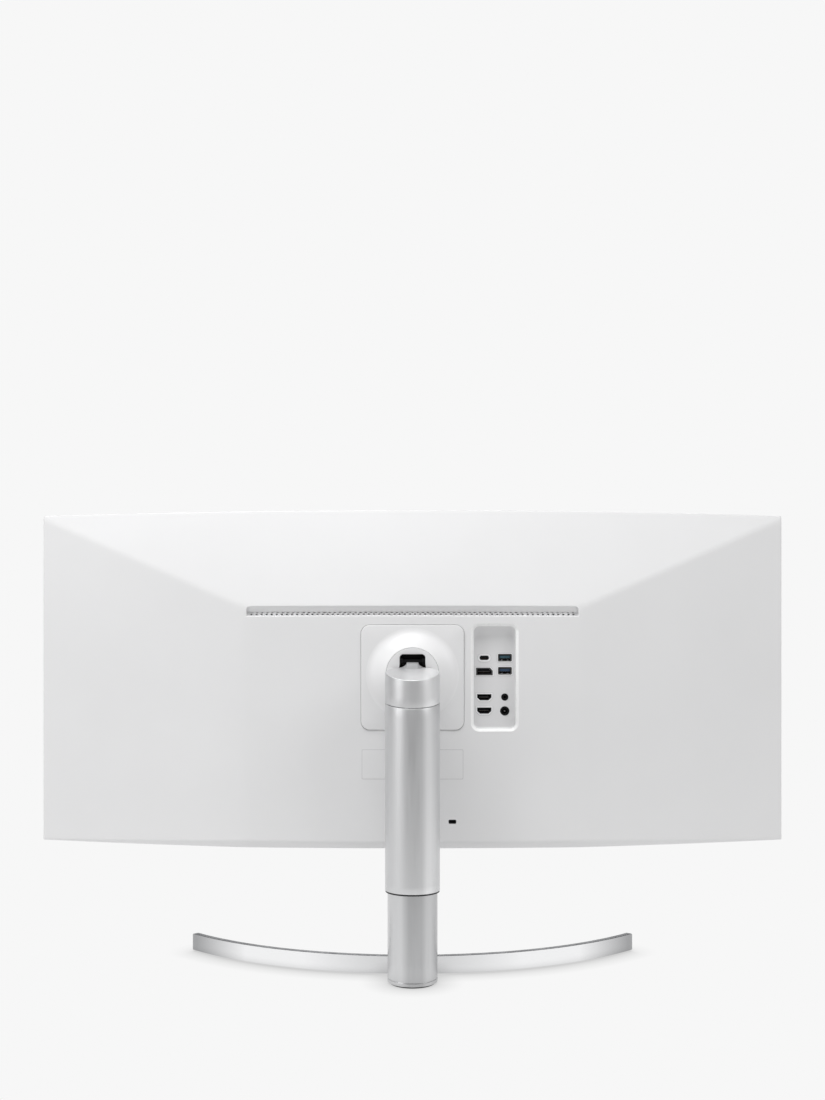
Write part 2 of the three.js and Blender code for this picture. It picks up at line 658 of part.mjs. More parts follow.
// ---------------------------------------------------------------- column
function columnTube() {
  const axis = [0, 0, 0];
  const tubeSpan = [OUTER_BOTTOM, SEAM_Z + OUTER_RADIUS];
  const tube = ring('z', OUTER_RADIUS, OUTER_BORE, tubeSpan, axis, COLUMN_SIDES)
    .intersect(belowPlane(SEAM_Z - GAP, SEAM_SLOPE));
  add('outer_tube', tube, SILVER);
  const glideTop = OUTER_BOTTOM - GAP;
  const glideSpan = [glideTop - GLIDE_HEIGHT, glideTop];
  const glide = ring('z', OUTER_RADIUS - 0.4, INNER_RADIUS + GAP, glideSpan, axis, COLUMN_SIDES);
  add('glide_ring', glide, DARK_PLASTIC);

  const capSpan = [SEAM_Z - OUTER_RADIUS, CAP_Z + OUTER_RADIUS];
  const post = rod('z', OUTER_RADIUS, capSpan, axis, COLUMN_SIDES);
  const bore = rod('z', OUTER_BORE - 0.4, [capSpan[0] - 1, capSpan[1] + 1], axis, COLUMN_SIDES);
  const notch = [-ARM_HALF - 0.5, ARM_HALF + 0.5];
  const cap = post
    .intersect(belowPlane(CAP_Z, CAP_SLOPE))
    .subtract(belowPlane(SEAM_Z + GAP, SEAM_SLOPE))
    .subtract(bore.intersect(belowPlane(CAP_Z - 2.4, CAP_SLOPE)))
    .subtract(box(notch, [-26.6, ARM_REAR_Y + 0.6], [300, 360]))
    .subtract(box(notch, [-31, ARM_REAR_Y + 0.6], [ARM_BOTTOM - 0.5, 360]));
  add('column_cap', cap, SILVER);
}

function neckArm() {
  const side = polygon([
    [-26, HUB_TOP + GAP],
    [ARM_REAR_Y, HUB_TOP + GAP],
    [ARM_REAR_Y, ARM_TOP],
    [HINGE_Y, ARM_TOP],
    [HINGE_Y, ARM_BOTTOM + 1.5],
    [HINGE_Y + 8, ARM_BOTTOM],
    [-26, ARM_BOTTOM],
  ]);
  const centre = [0, HINGE_Y, HINGE_Z];
  const arm = barX(side, [-ARM_HALF, ARM_HALF])
    .add(box([-13, 13], [-24, -16], [HUB_TOP + GAP, HUB_TOP + 5]))
    .add(rod('x', BARREL_RADIUS, [-BARREL_HALF, BARREL_HALF], centre))
    .subtract(rod('x', SHAFT_RADIUS + GAP, [-20, 20], centre));
  add('neck_arm', arm, STEEL);
  const hubSpan = [HUB_BOTTOM, HUB_TOP];
  const hub = ring('z', OUTER_BORE - GAP, SPINDLE_RADIUS + GAP, hubSpan, [0, 0, 0], COLUMN_SIDES);
  add('swivel_hub', hub, STEEL);
}

function lift() {
  const axis = [0, 0, 0];
  const plateBottom = CARRIAGE_TOP - CARRIAGE_PLATE;
  const block = box([-11, 11], [-15.4, -10], [CARRIAGE_BOTTOM, plateBottom + 1]);
  const plate = rod('z', 20, [plateBottom, CARRIAGE_TOP], axis);
  add('lift_carriage', block.add(plate), STEEL);
  const spindle = rod('z', SPINDLE_RADIUS, [CARRIAGE_TOP + GAP, SPINDLE_TOP], axis);
  add('swivel_spindle', spindle, STEEL);
  const washerSpan = [CARRIAGE_TOP + GAP, HUB_BOTTOM - GAP];
  add('swivel_washer', ring('z', 20, SPINDLE_RADIUS + GAP, washerSpan, axis), DARK_PLASTIC);
  const nut = rod('z', 13, [HUB_TOP + GAP, NUT_TOP], axis, 6)
    .subtract(rod('z', SPINDLE_RADIUS + GAP, [HUB_TOP, SPINDLE_TOP], axis));
  add('swivel_nut', nut, STEEL);
  add('gas_spring_rod', rod('z', 4, [90, plateBottom - GAP], axis, 16), SILVER);
}

// ---------------------------------------------------------------- base
function fixedColumn() {
  const axis = [0, 0, 0];
  const tube = ring('z', INNER_RADIUS, INNER_BORE, [FOOT_TOP + GAP, INNER_TOP], axis, COLUMN_SIDES);
  add('inner_tube', tube, SILVER);
  const foot = rod('z', INNER_RADIUS, [ARC_BOTTOM, FOOT_TOP], axis, COLUMN_SIDES)
    .add(rod('z', INNER_BORE - GAP, [FOOT_TOP - 1, SPRING_BOTTOM], axis, COLUMN_SIDES))
    .add(box([-20, 20], [-44, 0], [3, FOOT_TOP - 0.2]));
  add('column_foot', foot, SILVER);
  const cylinder = rod('z', 9, [SPRING_BOTTOM + GAP, SPRING_TOP], axis)
    .subtract(rod('z', 6.5, [SPRING_BOTTOM + 3, SPRING_TOP - 2], axis))
    .subtract(rod('z', 4.3, [SPRING_TOP - 10, SPRING_TOP + 2], axis, 16));
  add('gas_spring_cylinder', cylinder, STEEL);
  add('lift_rail', box([-7, 7], [-21.5, -15.7], [SPRING_BOTTOM + GAP, INNER_TOP - 4]), STEEL);
}

function baseArc() {
  const centreY = ARC_REAR_Y - ARC_RADIUS;
  const section = (top) => [
    [0, ARC_BOTTOM],
    [0, top - 1],
    [-1, top],
    [-8, top],
    [-ARC_DEPTH, 8],
    [-ARC_DEPTH, ARC_BOTTOM],
  ];
  const angles = spread(-ARC_HALF_ANGLE, ARC_HALF_ANGLE, 28);
  const tip = ARC_END_ROUND / ARC_RADIUS;
  angles.splice(1, 0, angles[0] + tip);
  angles.splice(-1, 0, angles.at(-1) - tip);
  const rings = angles.map((angle, i) => {
    const atEnd = i === 0 || i === angles.length - 1;
    const top = atEnd ? ARC_HEIGHT - ARC_END_ROUND : ARC_HEIGHT;
    return section(top).map(([inward, z]) => {
      const radius = ARC_RADIUS + inward;
      return [radius * Math.sin(angle), centreY + radius * Math.cos(angle), z];
    });
  });
  const pocket = box([-20.4, 20.4], [-44.4, 0], [0, FOOT_TOP + 0.2]);
  add('base_arc', loft(rings).subtract(pocket), SILVER);
  for (const [side, degrees] of Object.entries({ left: 38, right: -38 })) {
    const angle = THREE.MathUtils.degToRad(-degrees);
    const radius = ARC_RADIUS - ARC_DEPTH / 2;
    const pad = new THREE.BoxGeometry(30, 14, PAD_HEIGHT);
    pad.rotateZ(-angle);
    pad.translate(radius * Math.sin(angle), centreY + radius * Math.cos(angle), PAD_HEIGHT / 2);
    add(`base_pad_${side}`, toSolid(pad), RUBBER);
  }
  add('foot_pad', rod('z', 25, [0, PAD_HEIGHT], [0, 0, 0], COLUMN_SIDES), RUBBER);
}

// ---------------------------------------------------------------- menu stick
function menuStick() {
  const centre = [0, STICK_Y, 0];
  const at = (from, to) => [STICK_PIVOT_Z + from, STICK_PIVOT_Z + to];
  const housing = box([-13.5, 13.5], around(STICK_Y, 13.5), at(-5.5, 8))
    .subtract(box([-11.5, 11.5], around(STICK_Y, 11.5), at(-6, 6)));
  add('stick_housing', housing, DARK_PLASTIC);
  add('stick_ring', ring('z', ...STICK_RING, at(-1.5, 1.5), centre), DARK_PLASTIC);
  add('stick_yoke', ring('z', ...STICK_YOKE, at(-1.5, 1.5), centre), DARK_PLASTIC);
  const knob = rod('z', 3, at(-12, 4), centre, 20).add(rod('z', 6.5, at(-13, -7.5), centre));
  add('stick_knob', knob, DARK_PLASTIC);
}

displayStack();
rearCover();
ventGrille();
portBay();
portSockets();
coverDetails();
electronics();
speakers();
standMount();
dome();
tiltHinge();
columnTube();
neckArm();
lift();
fixedColumn();
baseArc();
menuStick();

export default monitor;
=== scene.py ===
import json
import math
from functools import partial

import bmesh
import bpy
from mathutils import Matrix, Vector
from mathutils.geometry import delaunay_2d_cdt


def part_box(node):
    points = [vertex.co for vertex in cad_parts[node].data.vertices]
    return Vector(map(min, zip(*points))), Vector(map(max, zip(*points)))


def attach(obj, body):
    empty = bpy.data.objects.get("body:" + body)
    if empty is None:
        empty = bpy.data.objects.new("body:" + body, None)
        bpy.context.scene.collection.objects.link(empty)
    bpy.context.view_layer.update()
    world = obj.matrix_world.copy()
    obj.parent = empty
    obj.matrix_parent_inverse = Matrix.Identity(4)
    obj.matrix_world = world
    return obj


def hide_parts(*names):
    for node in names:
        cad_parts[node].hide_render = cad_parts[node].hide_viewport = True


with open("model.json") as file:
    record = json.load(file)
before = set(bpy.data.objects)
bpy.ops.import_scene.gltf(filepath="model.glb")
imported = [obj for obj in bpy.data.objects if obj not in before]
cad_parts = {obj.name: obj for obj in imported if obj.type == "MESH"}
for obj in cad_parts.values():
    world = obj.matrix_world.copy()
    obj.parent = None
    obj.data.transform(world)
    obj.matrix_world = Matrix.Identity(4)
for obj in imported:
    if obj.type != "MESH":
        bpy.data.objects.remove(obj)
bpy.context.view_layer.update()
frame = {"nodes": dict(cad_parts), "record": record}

MM = 0.001
scene = bpy.context.scene
SLOT_OF = {part["node"]: part["material_slot"] for part in frame["record"]["subparts"]}


def span(node, axis):
    """Lowest and highest place of a CAD node along one axis, in millimetres."""
    low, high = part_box(node)
    return low["xyz".index(axis)] / MM, high["xyz".index(axis)] / MM


# ---------------------------------------------------------------- the shape of the head
HEAD_LEFT, HEAD_RIGHT = span("middle_frame", "x")
HEAD_BOTTOM, HEAD_TOP = span("middle_frame", "z")
HEAD_HALF = HEAD_RIGHT
CURVE_RADIUS = 2300
COVER_DEPTH = 33
COVER_EDGE_DEPTH = 1
FRAME_DEPTH = 5.3
EDGE_REAR_Y = span("rear_cover", "y")[1] - COVER_DEPTH
PLATEAU_HALF = 194
CREASE_Z = 414.5
CHAMFER_SHARE = 0.2
CHAMFER_SLOPE = 0.9
EDGE_ROUND = 1.1
VENT_HALF = 191
VENT_BOTTOM = 404.5
STICK_Y = -77.5


def curve_y(x):
    """The line that the whole head follows, at the rear edge of its rim."""
    return EDGE_REAR_Y - (CURVE_RADIUS - math.sqrt(CURVE_RADIUS ** 2 - x * x))


def soft_min(a, b, width):
    mix = max(width - abs(a - b), 0) / width
    return min(a, b) - mix * mix * width / 4


def cover_y(x, z):
    """The rear cover: a plateau with sloping facets whose creases are slightly rounded."""
    share = (HEAD_HALF - abs(x)) / (HEAD_HALF - PLATEAU_HALF)
    slope = COVER_EDGE_DEPTH + (COVER_DEPTH - COVER_EDGE_DEPTH) * share
    side = soft_min(COVER_DEPTH, slope, 0.8)
    top = COVER_DEPTH * (HEAD_TOP - z) / (HEAD_TOP - CREASE_Z)
    chamfer = (1 - CHAMFER_SHARE) * side + CHAMFER_SLOPE * (z - HEAD_BOTTOM)
    depth = soft_min(soft_min(side, top, 1.3), chamfer, 2.5)
    inside = min(HEAD_HALF - abs(x), HEAD_TOP - z, z - HEAD_BOTTOM)
    if inside < EDGE_ROUND:
        lean = EDGE_ROUND - max(inside, 0)
        depth -= EDGE_ROUND - math.sqrt(EDGE_ROUND ** 2 - lean ** 2)
    return curve_y(x) + depth


# ---------------------------------------------------------------- mesh helpers
def make(name, shape, slot, body, stands_for=(), smooth=40, look=None):
    """A piece of the object from points in millimetres, riding on a CAD body."""
    mesh = bpy.data.meshes.new(name)
    mesh.from_pydata([(x * MM, y * MM, z * MM) for x, y, z in shape.verts], [], shape.faces)
    work = bmesh.new()
    work.from_mesh(mesh)
    bmesh.ops.remove_doubles(work, verts=work.verts, dist=1e-7)
    bmesh.ops.recalc_face_normals(work, faces=work.faces)
    work.to_mesh(mesh)
    work.free()
    obj = bpy.data.objects.new(name, mesh)
    scene.collection.objects.link(obj)
    shade(obj, smooth)
    paint(obj, look or slot)
    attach(obj, body)
    if stands_for:
        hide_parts(*stands_for)
    return obj


def shade(obj, angle):
    for face in obj.data.polygons:
        face.use_smooth = True
    obj.data.set_sharp_from_angle(angle=math.radians(angle))


def paint(obj, look):
    obj.data.materials.clear()
    obj.data.materials.append(LOOKS[look])


def soften(obj, width):
    """Rounds the piece's edges and shades the result smoothly."""
    edge = obj.modifiers.new("edge", "BEVEL")
    edge.width = width * MM
    edge.segments = 2
    edge.limit_method = "ANGLE"
    edge.angle_limit = math.radians(35)
    edge.harden_normals = True


class Mesh:
    """Points and faces gathered before a piece is made from them."""

    def __init__(self):
        self.verts = []
        self.faces = []

    def loft(self, rings, closed=True, start=False, end=False):
        first = len(self.verts)
        count = len(rings[0])
        for ring in rings:
            self.verts.extend(ring)
        for r in range(len(rings) - 1):
            for p in range(count if closed else count - 1):
                a = first + r * count + p
                b = first + r * count + (p + 1) % count
                self.faces.append((a, b, b + count, a + count))
        if start:
            self.faces.append(tuple(first + p for p in reversed(range(count))))
        if end:
            last = first + (len(rings) - 1) * count
            self.faces.append(tuple(last + p for p in range(count)))
        return self

    def cap(self, ring):
        """One flat face of its own."""
        first = len(self.verts)
        self.verts += ring
        self.faces.append(tuple(range(first, first + len(ring))))

    def join(self, other):
        first = len(self.verts)
        self.verts += other.verts
        self.faces += [tuple(first + i for i in face) for face in other.faces]

    def sheet(self, points, holes, place, keep=()):
        """A flat outline with holes, triangulated and then put in place by a function."""
        flat = [Vector(p) for p in points]
        edges = ring_edges(0, len(points))
        for hole in holes:
            edges += ring_edges(len(flat), len(hole))
            flat += [Vector(p) for p in hole]
        flat += [Vector(p) for p in keep]
        verts, _, faces, *_ = delaunay_2d_cdt(flat, edges, [], 1, 1e-6)
        first = len(self.verts)
        self.verts.extend(place(v.x, v.y) for v in verts)
        for face in faces:
            u = sum(verts[i].x for i in face) / len(face)
            v = sum(verts[i].y for i in face) / len(face)
            if not any(within(u, v, hole) for hole in holes):
                self.faces.append(tuple(first + i for i in face))
        return self


def ring_edges(first, count):
    return [(first + i, first + (i + 1) % count) for i in range(count)]


def within(u, v, outline):
    inside = False
    for i, (x0, y0) in enumerate(outline):
        x1, y1 = outline[i - 1]
        if (y0 > v) != (y1 > v) and u < (x1 - x0) * (v - y0) / (y1 - y0) + x0:
            inside = not inside
    return inside


def rounded(x0, x1, z0, z1, radii, steps=8):
    """Rectangle with rounded corners. Radii go round from the lower left corner."""
    if not isinstance(radii, (tuple, list)):
        radii = (radii,) * 4
    corners = [(x0, z0, 1, 1, 180), (x1, z0, -1, 1, 270), (x1, z1, -1, -1, 0), (x0, z1, 1, -1, 90)]
    points = []
    for (x, z, sx, sz, turn), radius in zip(corners, radii):
        radius = max(radius, 0.01)
        for i in range(steps + 1):
            angle = math.radians(turn + 90 * i / steps)
            points.append((
                x + sx * radius + radius * math.cos(angle),
                z + sz * radius + radius * math.sin(angle),
            ))
    return points


def about(cx, cz, width, height, radii, steps=8):
    return rounded(cx - width / 2, cx + width / 2, cz - height / 2, cz + height / 2, radii, steps)


def circle(cx, cz, radius, steps=48):
    turn = [2 * math.pi * i / steps for i in range(steps)]
    return [(cx + radius * math.cos(a), cz + radius * math.sin(a)) for a in turn]


def stretch(outline, spacing):
    """Adds points along the long edges of an outline, so that it can follow a curve."""
    points = []
    for i, (x0, z0) in enumerate(outline):
        x1, z1 = outline[(i + 1) % len(outline)]
        parts = max(1, math.ceil(math.hypot(x1 - x0, z1 - z0) / spacing))
        points += [(x0 + (x1 - x0) * k / parts, z0 + (z1 - z0) * k / parts) for k in range(parts)]
    return points


def banded(outline_of, steps, end=False):
    """A band that follows an outline through steps of (growth, place on Y)."""
    return Mesh().loft([[(x, y, z) for x, z in outline_of(grow)] for grow, y in steps], end=end)


def turned(rings, axis, centre, steps=64):
    """Rings of a lathe: each (radius, place along the axis) becomes a circle."""
    made = []
    for radius, place in rings:
        ring = []
        for i in range(steps):
            a = 2 * math.pi * i / steps
            u, v = radius * math.cos(a), radius * math.sin(a)
            if axis == "z":
                ring.append((centre[0] + u, centre[1] + v, place))
            else:
                ring.append((centre[0] + u, place, centre[2] + v))
        made.append(ring)
    return made


def steps_between(low, high, count):
    return [low + (high - low) * i / count for i in range(count + 1)]


# ---------------------------------------------------------------- looks
LOOKS = {}
# Places on X, in metres, between which a tube's colour changes: the edges of a painted reflection streak.
PAINTED_STREAK_START = (0.012, 0.004)
PAINTED_STREAK_RISE = (-0.010, -0.0155)
PAINTED_STREAK_FALL = (-0.0195, -0.0270)
# Distances from the middle, in metres, over which the arc's colour lightens and then darkens: a painted
# reflection.
ARC_PAINTED_LIGHT = (0.035, 0.125)
ARC_PAINTED_DARK = (0.195, 0.262)


def add_node(tree, kind, settings=(), **inputs):
    """A shader node. Each input is a plain value or another node's output."""
    made = tree.nodes.new(kind)
    for key, value in dict(settings).items():
        setattr(made, key, value)
    for key, value in inputs.items():
        socket = made.inputs[key.replace("_", " ")]
        if hasattr(value, "links"):
            tree.links.new(value, socket)
        else:
            socket.default_value = value
    return made


class Look:
    """One procedural material and the nodes that feed it."""

    def __init__(self, name, color, roughness, metallic=0.0):
        self.material = bpy.data.materials.new(name)
        self.material.use_nodes = True
        self.tree = self.material.node_tree
        self.shader = self.tree.nodes["Principled BSDF"]
        self.shader.inputs["Base Color"].default_value = (*color, 1)
        self.shader.inputs["Roughness"].default_value = roughness
        self.shader.inputs["Metallic"].default_value = metallic
        self.normal = None
        LOOKS[name] = self.material

    def node(self, kind, settings=(), **inputs):
        return add_node(self.tree, kind, settings, **inputs)

    def place(self, stretch_by=(1, 1, 1)):
        source = self.node("ShaderNodeTexCoord").outputs["Object"]
        return self.node("ShaderNodeMapping", Vector=source, Scale=stretch_by).outputs[0]

    def noise(self, scale, detail=3.0, stretch_by=(1, 1, 1)):
        vector = self.place(stretch_by)
        return self.node("ShaderNodeTexNoise", Vector=vector, Scale=scale, Detail=detail).outputs["Fac"]

    def cells(self, scale):
        made = self.node("ShaderNodeTexVoronoi", {"feature": "F1"}, Vector=self.place(), Scale=scale)
        return made.outputs["Distance"]

    def remap(self, value, low, high, source=(0.3, 0.7)):
        """Spreads a texture's value between two numbers."""
        low_in, high_in = source
        made = self.node(
            "ShaderNodeMapRange", Value=value, From_Min=low_in, From_Max=high_in, To_Min=low, To_Max=high,
        )
        return made.outputs[0]

    def blend(self, factor, first, second):
        """Mixes two colours. The first may also be another node's output."""
        made = self.node("ShaderNodeMix", {"data_type": "RGBA"})
        if hasattr(first, "links"):
            self.tree.links.new(first, made.inputs[6])
        else:
            made.inputs[6].default_value = (*first, 1)
        made.inputs[7].default_value = (*second, 1)
        self.tree.links.new(factor, made.inputs[0])
        return made.outputs[2]

    def color(self, output):
        self.tree.links.new(output, self.shader.inputs["Base Color"])

    def roughness(self, output):
        self.tree.links.new(output, self.shader.inputs["Roughness"])

    def bump(self, height, depth_mm, strength=1.0):
        made = self.node("ShaderNodeBump", Height=height, Strength=strength, Distance=depth_mm * MM)
        if self.normal:
            self.tree.links.new(self.normal, made.inputs["Normal"])
        self.normal = made.outputs[0]
        self.tree.links.new(self.normal, self.shader.inputs["Normal"])

    def set(self, **values):
        for key, value in values.items():
            self.shader.inputs[key.replace("_", " ")].default_value = value


def silver(value):
    """A grey with a trace of blue."""
    return (value, value + 0.003, value + 0.01)


def moulded(name, color, roughness, grain_mm, depth_mm, shift=0.03):
    """Moulded plastic: a fine spark-eroded grain and slight unevenness of colour and gloss."""
    look = Look(name, color, roughness)
    cloud = look.noise(7, 4)
    look.color(look.blend(look.remap(cloud, 0, 1), [c * (1 - shift) for c in color], color))
    look.roughness(look.remap(look.noise(1 / (grain_mm * 3 * MM), 2), roughness - 0.05, roughness + 0.05))
    look.bump(look.noise(1 / (grain_mm * MM), 2), depth_mm)
    look.bump(look.noise(18, 2), 0.05, 0.5)
    return look


def brushed(name, color, roughness, stretch_by, depth_mm=0.01, fine=900):
    """Metal with fine hairlines along one direction."""
    look = Look(name, color, roughness, 1.0)
    lines = look.noise(fine, 3, stretch_by)
    broad = look.noise(60, 2, stretch_by)
    look.color(look.blend(look.remap(broad, 0, 1), [c * 0.95 for c in color], color))
    look.roughness(look.remap(lines, roughness - 0.05, roughness + 0.07))
    look.bump(lines, depth_mm, 0.6)
    return look


def with_painted_streak(name, left, middle, right, roughness, stretch_by=(1, 1, 0.02), depth_mm=0.006):
    """A brushed tube with a painted reflection: its colour changes across X, lighter in a streak down one
    side.
    """
    look = brushed(name, middle, roughness, stretch_by, depth_mm)
    across = look.node("ShaderNodeSeparateXYZ", Vector=look.place()).outputs["X"]
    color = look.blend(look.remap(across, 0, 1, PAINTED_STREAK_START), left, middle)
    color = look.blend(look.remap(across, 0, 1, PAINTED_STREAK_RISE), color, right)
    look.color(look.blend(look.remap(across, 0, 1, PAINTED_STREAK_FALL), color, middle))


def make_looks():
    moulded("white_textured", (0.80, 0.80, 0.805), 0.5, 0.35, 0.018)
    moulded("white_smooth", (0.84, 0.84, 0.845), 0.36, 0.8, 0.004)
    moulded("grey_plastic", (0.83, 0.83, 0.835), 0.45, 0.35, 0.01)
    # A darker copy of the cover's white: painted shade inside the bay.
    moulded("bay_painted_shade", (0.76, 0.76, 0.765), 0.5, 0.35, 0.018)
    # The bay's lip is glossier and paler than the cover: the paler colour is a painted highlight.
    moulded("bay_lip_painted_highlight", (0.93, 0.93, 0.93), 0.3, 0.8, 0.003)
    moulded("vent_shade", (0.16, 0.16, 0.165), 0.6, 0.3, 0.01)
    moulded("label_film", (0.80, 0.80, 0.805), 0.4, 0.5, 0.006)
    moulded("dark_plastic", (0.022, 0.022, 0.024), 0.5, 0.3, 0.02, 0.3)
    # Black for the round jacks; also painted shade for the rings and sleeves in the other sockets.
    socket = moulded("socket_black_and_painted_shade", (0.006, 0.006, 0.007), 0.6, 0.3, 0.01, 0.2)
    socket.set(Specular_IOR_Level=0.2)
    moulded("usb_blue", (0.035, 0.07, 0.13), 0.4, 0.3, 0.01, 0.2)
    moulded("usb_teal", (0.04, 0.10, 0.13), 0.4, 0.3, 0.01, 0.2)
    moulded("panel_border", (0.008, 0.008, 0.009), 0.35, 0.3, 0.004, 0.2)
    # A darker band of the cover's white: painted shade standing in for grooves.
    moulded("groove_painted_shade", (0.60, 0.60, 0.61), 0.55, 0.3, 0.004)

    brushed("brushed_silver", silver(0.69), 0.46, (1, 1, 0.02), 0.006)
    # The tubes carry painted reflections: their colour is lighter and darker in fixed streaks across X.
    with_painted_streak("brushed_outer_painted_reflection", silver(0.70), silver(0.70), silver(0.86), 0.46)
    with_painted_streak("brushed_inner_painted_reflection", silver(0.67), silver(0.51), silver(0.63), 0.34)
    arc = brushed("brushed_arc_painted_reflection", silver(0.90), 0.13, (0.02, 0.02, 1), 0.0006, 2600)
    # Painted reflection on the arc: its colour lightens away from the middle and darkens towards the ends.
    along = arc.node("ShaderNodeSeparateXYZ", Vector=arc.place()).outputs["X"]
    aside = arc.node("ShaderNodeMath", {"operation": "ABSOLUTE"}, Value=along).outputs[0]
    middle = arc.blend(arc.remap(aside, 0, 1, ARC_PAINTED_LIGHT), silver(0.69), silver(0.94))
    arc.color(arc.blend(arc.remap(aside, 0, 1, ARC_PAINTED_DARK), middle, silver(0.38)))
    # The arc's narrow top: the same metal painted dark, a painted dark reflection along its upper edge.
    brushed("arc_ledge_painted_dark", silver(0.19), 0.55, (0.02, 0.02, 1), 0.0001, 2600)
    # The cap carries a painted reflection streak in its colour.
    with_painted_streak("cap_silver_painted_reflection", silver(0.70), silver(0.84), silver(0.96), 0.44, (1, 1, 1), 0.003)
    # The neck's metal is painted darker than the cap's: painted shade.
    brushed("neck_silver_painted_shade", silver(0.50), 0.5, (1, 1, 1), 0.003)
    brushed("steel_sheet", (0.50, 0.51, 0.52), 0.38, (0.03, 1, 1))
    brushed("bright_rod", (0.80, 0.80, 0.82), 0.12, (1, 1, 0.1), 0.002)
    brushed("port_metal", (0.60, 0.60, 0.60), 0.3, (1, 0.2, 1), 0.004)
    # A darker copy of the port metal: painted shade for the socket shells.
    brushed("port_metal_painted_shade", (0.22, 0.22, 0.22), 0.4, (1, 0.2, 1), 0.004)
    brushed("contact_gold", (0.78, 0.56, 0.25), 0.25, (1, 0.2, 1), 0.002)

    steel = Look("machined_steel", (0.42, 0.425, 0.43), 0.35, 1.0)
    rings = steel.node(
        "ShaderNodeTexWave", {"wave_type": "RINGS"}, Vector=steel.place(), Scale=350.0, Distortion=1.5,
    )
    steel.roughness(steel.remap(steel.noise(400, 2), 0.28, 0.42))
    steel.bump(rings.outputs["Fac"], 0.006)

    black = Look("black_steel", (0.012, 0.012, 0.013), 0.45, 0.6)
    black.roughness(black.remap(black.noise(500, 3), 0.38, 0.55))
    black.bump(black.noise(1500, 2), 0.006)

    glass = Look("screen_glass", (0.006, 0.006, 0.007), 0.26)
    pixels = glass.node("ShaderNodeTexWave", {"bands_direction": "X"}, Vector=glass.place(), Scale=1300.0)
    lines = glass.remap(pixels.outputs["Fac"], 0, 1, (0, 1))
    glass.color(glass.blend(lines, (0.005, 0.005, 0.006), (0.010, 0.010, 0.012)))
    glass.bump(glass.noise(6000, 1), 0.0015)
    glass.set(Specular_IOR_Level=0.22)

    clear = Look("clear_sheet", (0.85, 0.88, 0.90), 0.15)
    spots = clear.remap(clear.cells(700), 0, 1, (0.1, 0.4))
    clear.color(clear.blend(spots, (0.95, 0.97, 0.98), (0.75, 0.79, 0.82)))
    clear.bump(clear.cells(700), 0.01)

    board = Look("circuit_board", (0.02, 0.12, 0.06), 0.4)
    tracks = board.node("ShaderNodeTexBrick", Vector=board.place(), Scale=180.0)
    tracks.inputs["Color1"].default_value = (0.012, 0.10, 0.045, 1)
    tracks.inputs["Color2"].default_value = (0.018, 0.14, 0.065, 1)
    tracks.inputs["Mortar"].default_value = (0.03, 0.22, 0.10, 1)
    board.color(tracks.outputs["Color"])
    board.bump(board.noise(900, 2), 0.02)

    rubber = Look("foot_rubber", (0.02, 0.02, 0.021), 0.8)
    patches = rubber.remap(rubber.noise(120, 4), 0, 1)
    rubber.color(rubber.blend(patches, (0.014, 0.014, 0.015), (0.03, 0.03, 0.031)))
    rubber.bump(rubber.noise(1800, 3), 0.03)


# ---------------------------------------------------------------- rear cover
MOUNT_HALF = span("mount_cover", "x")[1] - 1.2
MOUNT_LEFT, MOUNT_RIGHT = -MOUNT_HALF, MOUNT_HALF
MOUNT_LOW, MOUNT_HIGH = span("mount_cover", "z")
MOUNT_Y = span("mount_cover", "y")[1]
MOUNT_CORNER = 10
BAY_LEFT, BAY_RIGHT = span("port_bay", "x")
BAY_LOW, BAY_HIGH = span("port_bay", "z")
BAY_CORNER = 8.6
BAY_FLOOR_Y = -67.3
BAY_BEVEL = 2.0
BAY_LIP = 3.5
BAY_LIP_STEPS = [(3.5, 0), (3.2, 0.03), (2.9, 0.2), (0.5, 1.75), (0.12, 2.05), (0, 2.4)]
LOCK = (-45.6, 168.5)


def mount_hole(grow=0):
    g = 0.4 + grow
    return rounded(MOUNT_LEFT - g, MOUNT_RIGHT + g, MOUNT_LOW - g, MOUNT_HIGH + g, MOUNT_CORNER + g)


def bay_hole(grow=0):
    return bay_outline(grow - BAY_BEVEL)


def bay_outline(grow=0, top_drop=0, foot_rise=0):
    return rounded(
        BAY_LEFT - grow,
        BAY_RIGHT + grow,
        BAY_LOW - grow + foot_rise,
        BAY_HIGH + grow - top_drop,
        max(BAY_CORNER + grow, 1),
    )


def vent_hole(grow=0):
    g = grow
    corners = (0.8 + g, 0.8 + g, 4 + g, 4 + g)
    return rounded(-VENT_HALF - g, VENT_HALF + g, VENT_BOTTOM - g, CREASE_Z + g, corners)


def lock_hole(grow=0):
    return about(*LOCK, 8.8 + 2 * grow, 4.6 + 2 * grow, 1.3 + grow, 5)


def on_cover(x, z):
    return (x, cover_y(x, z), z)


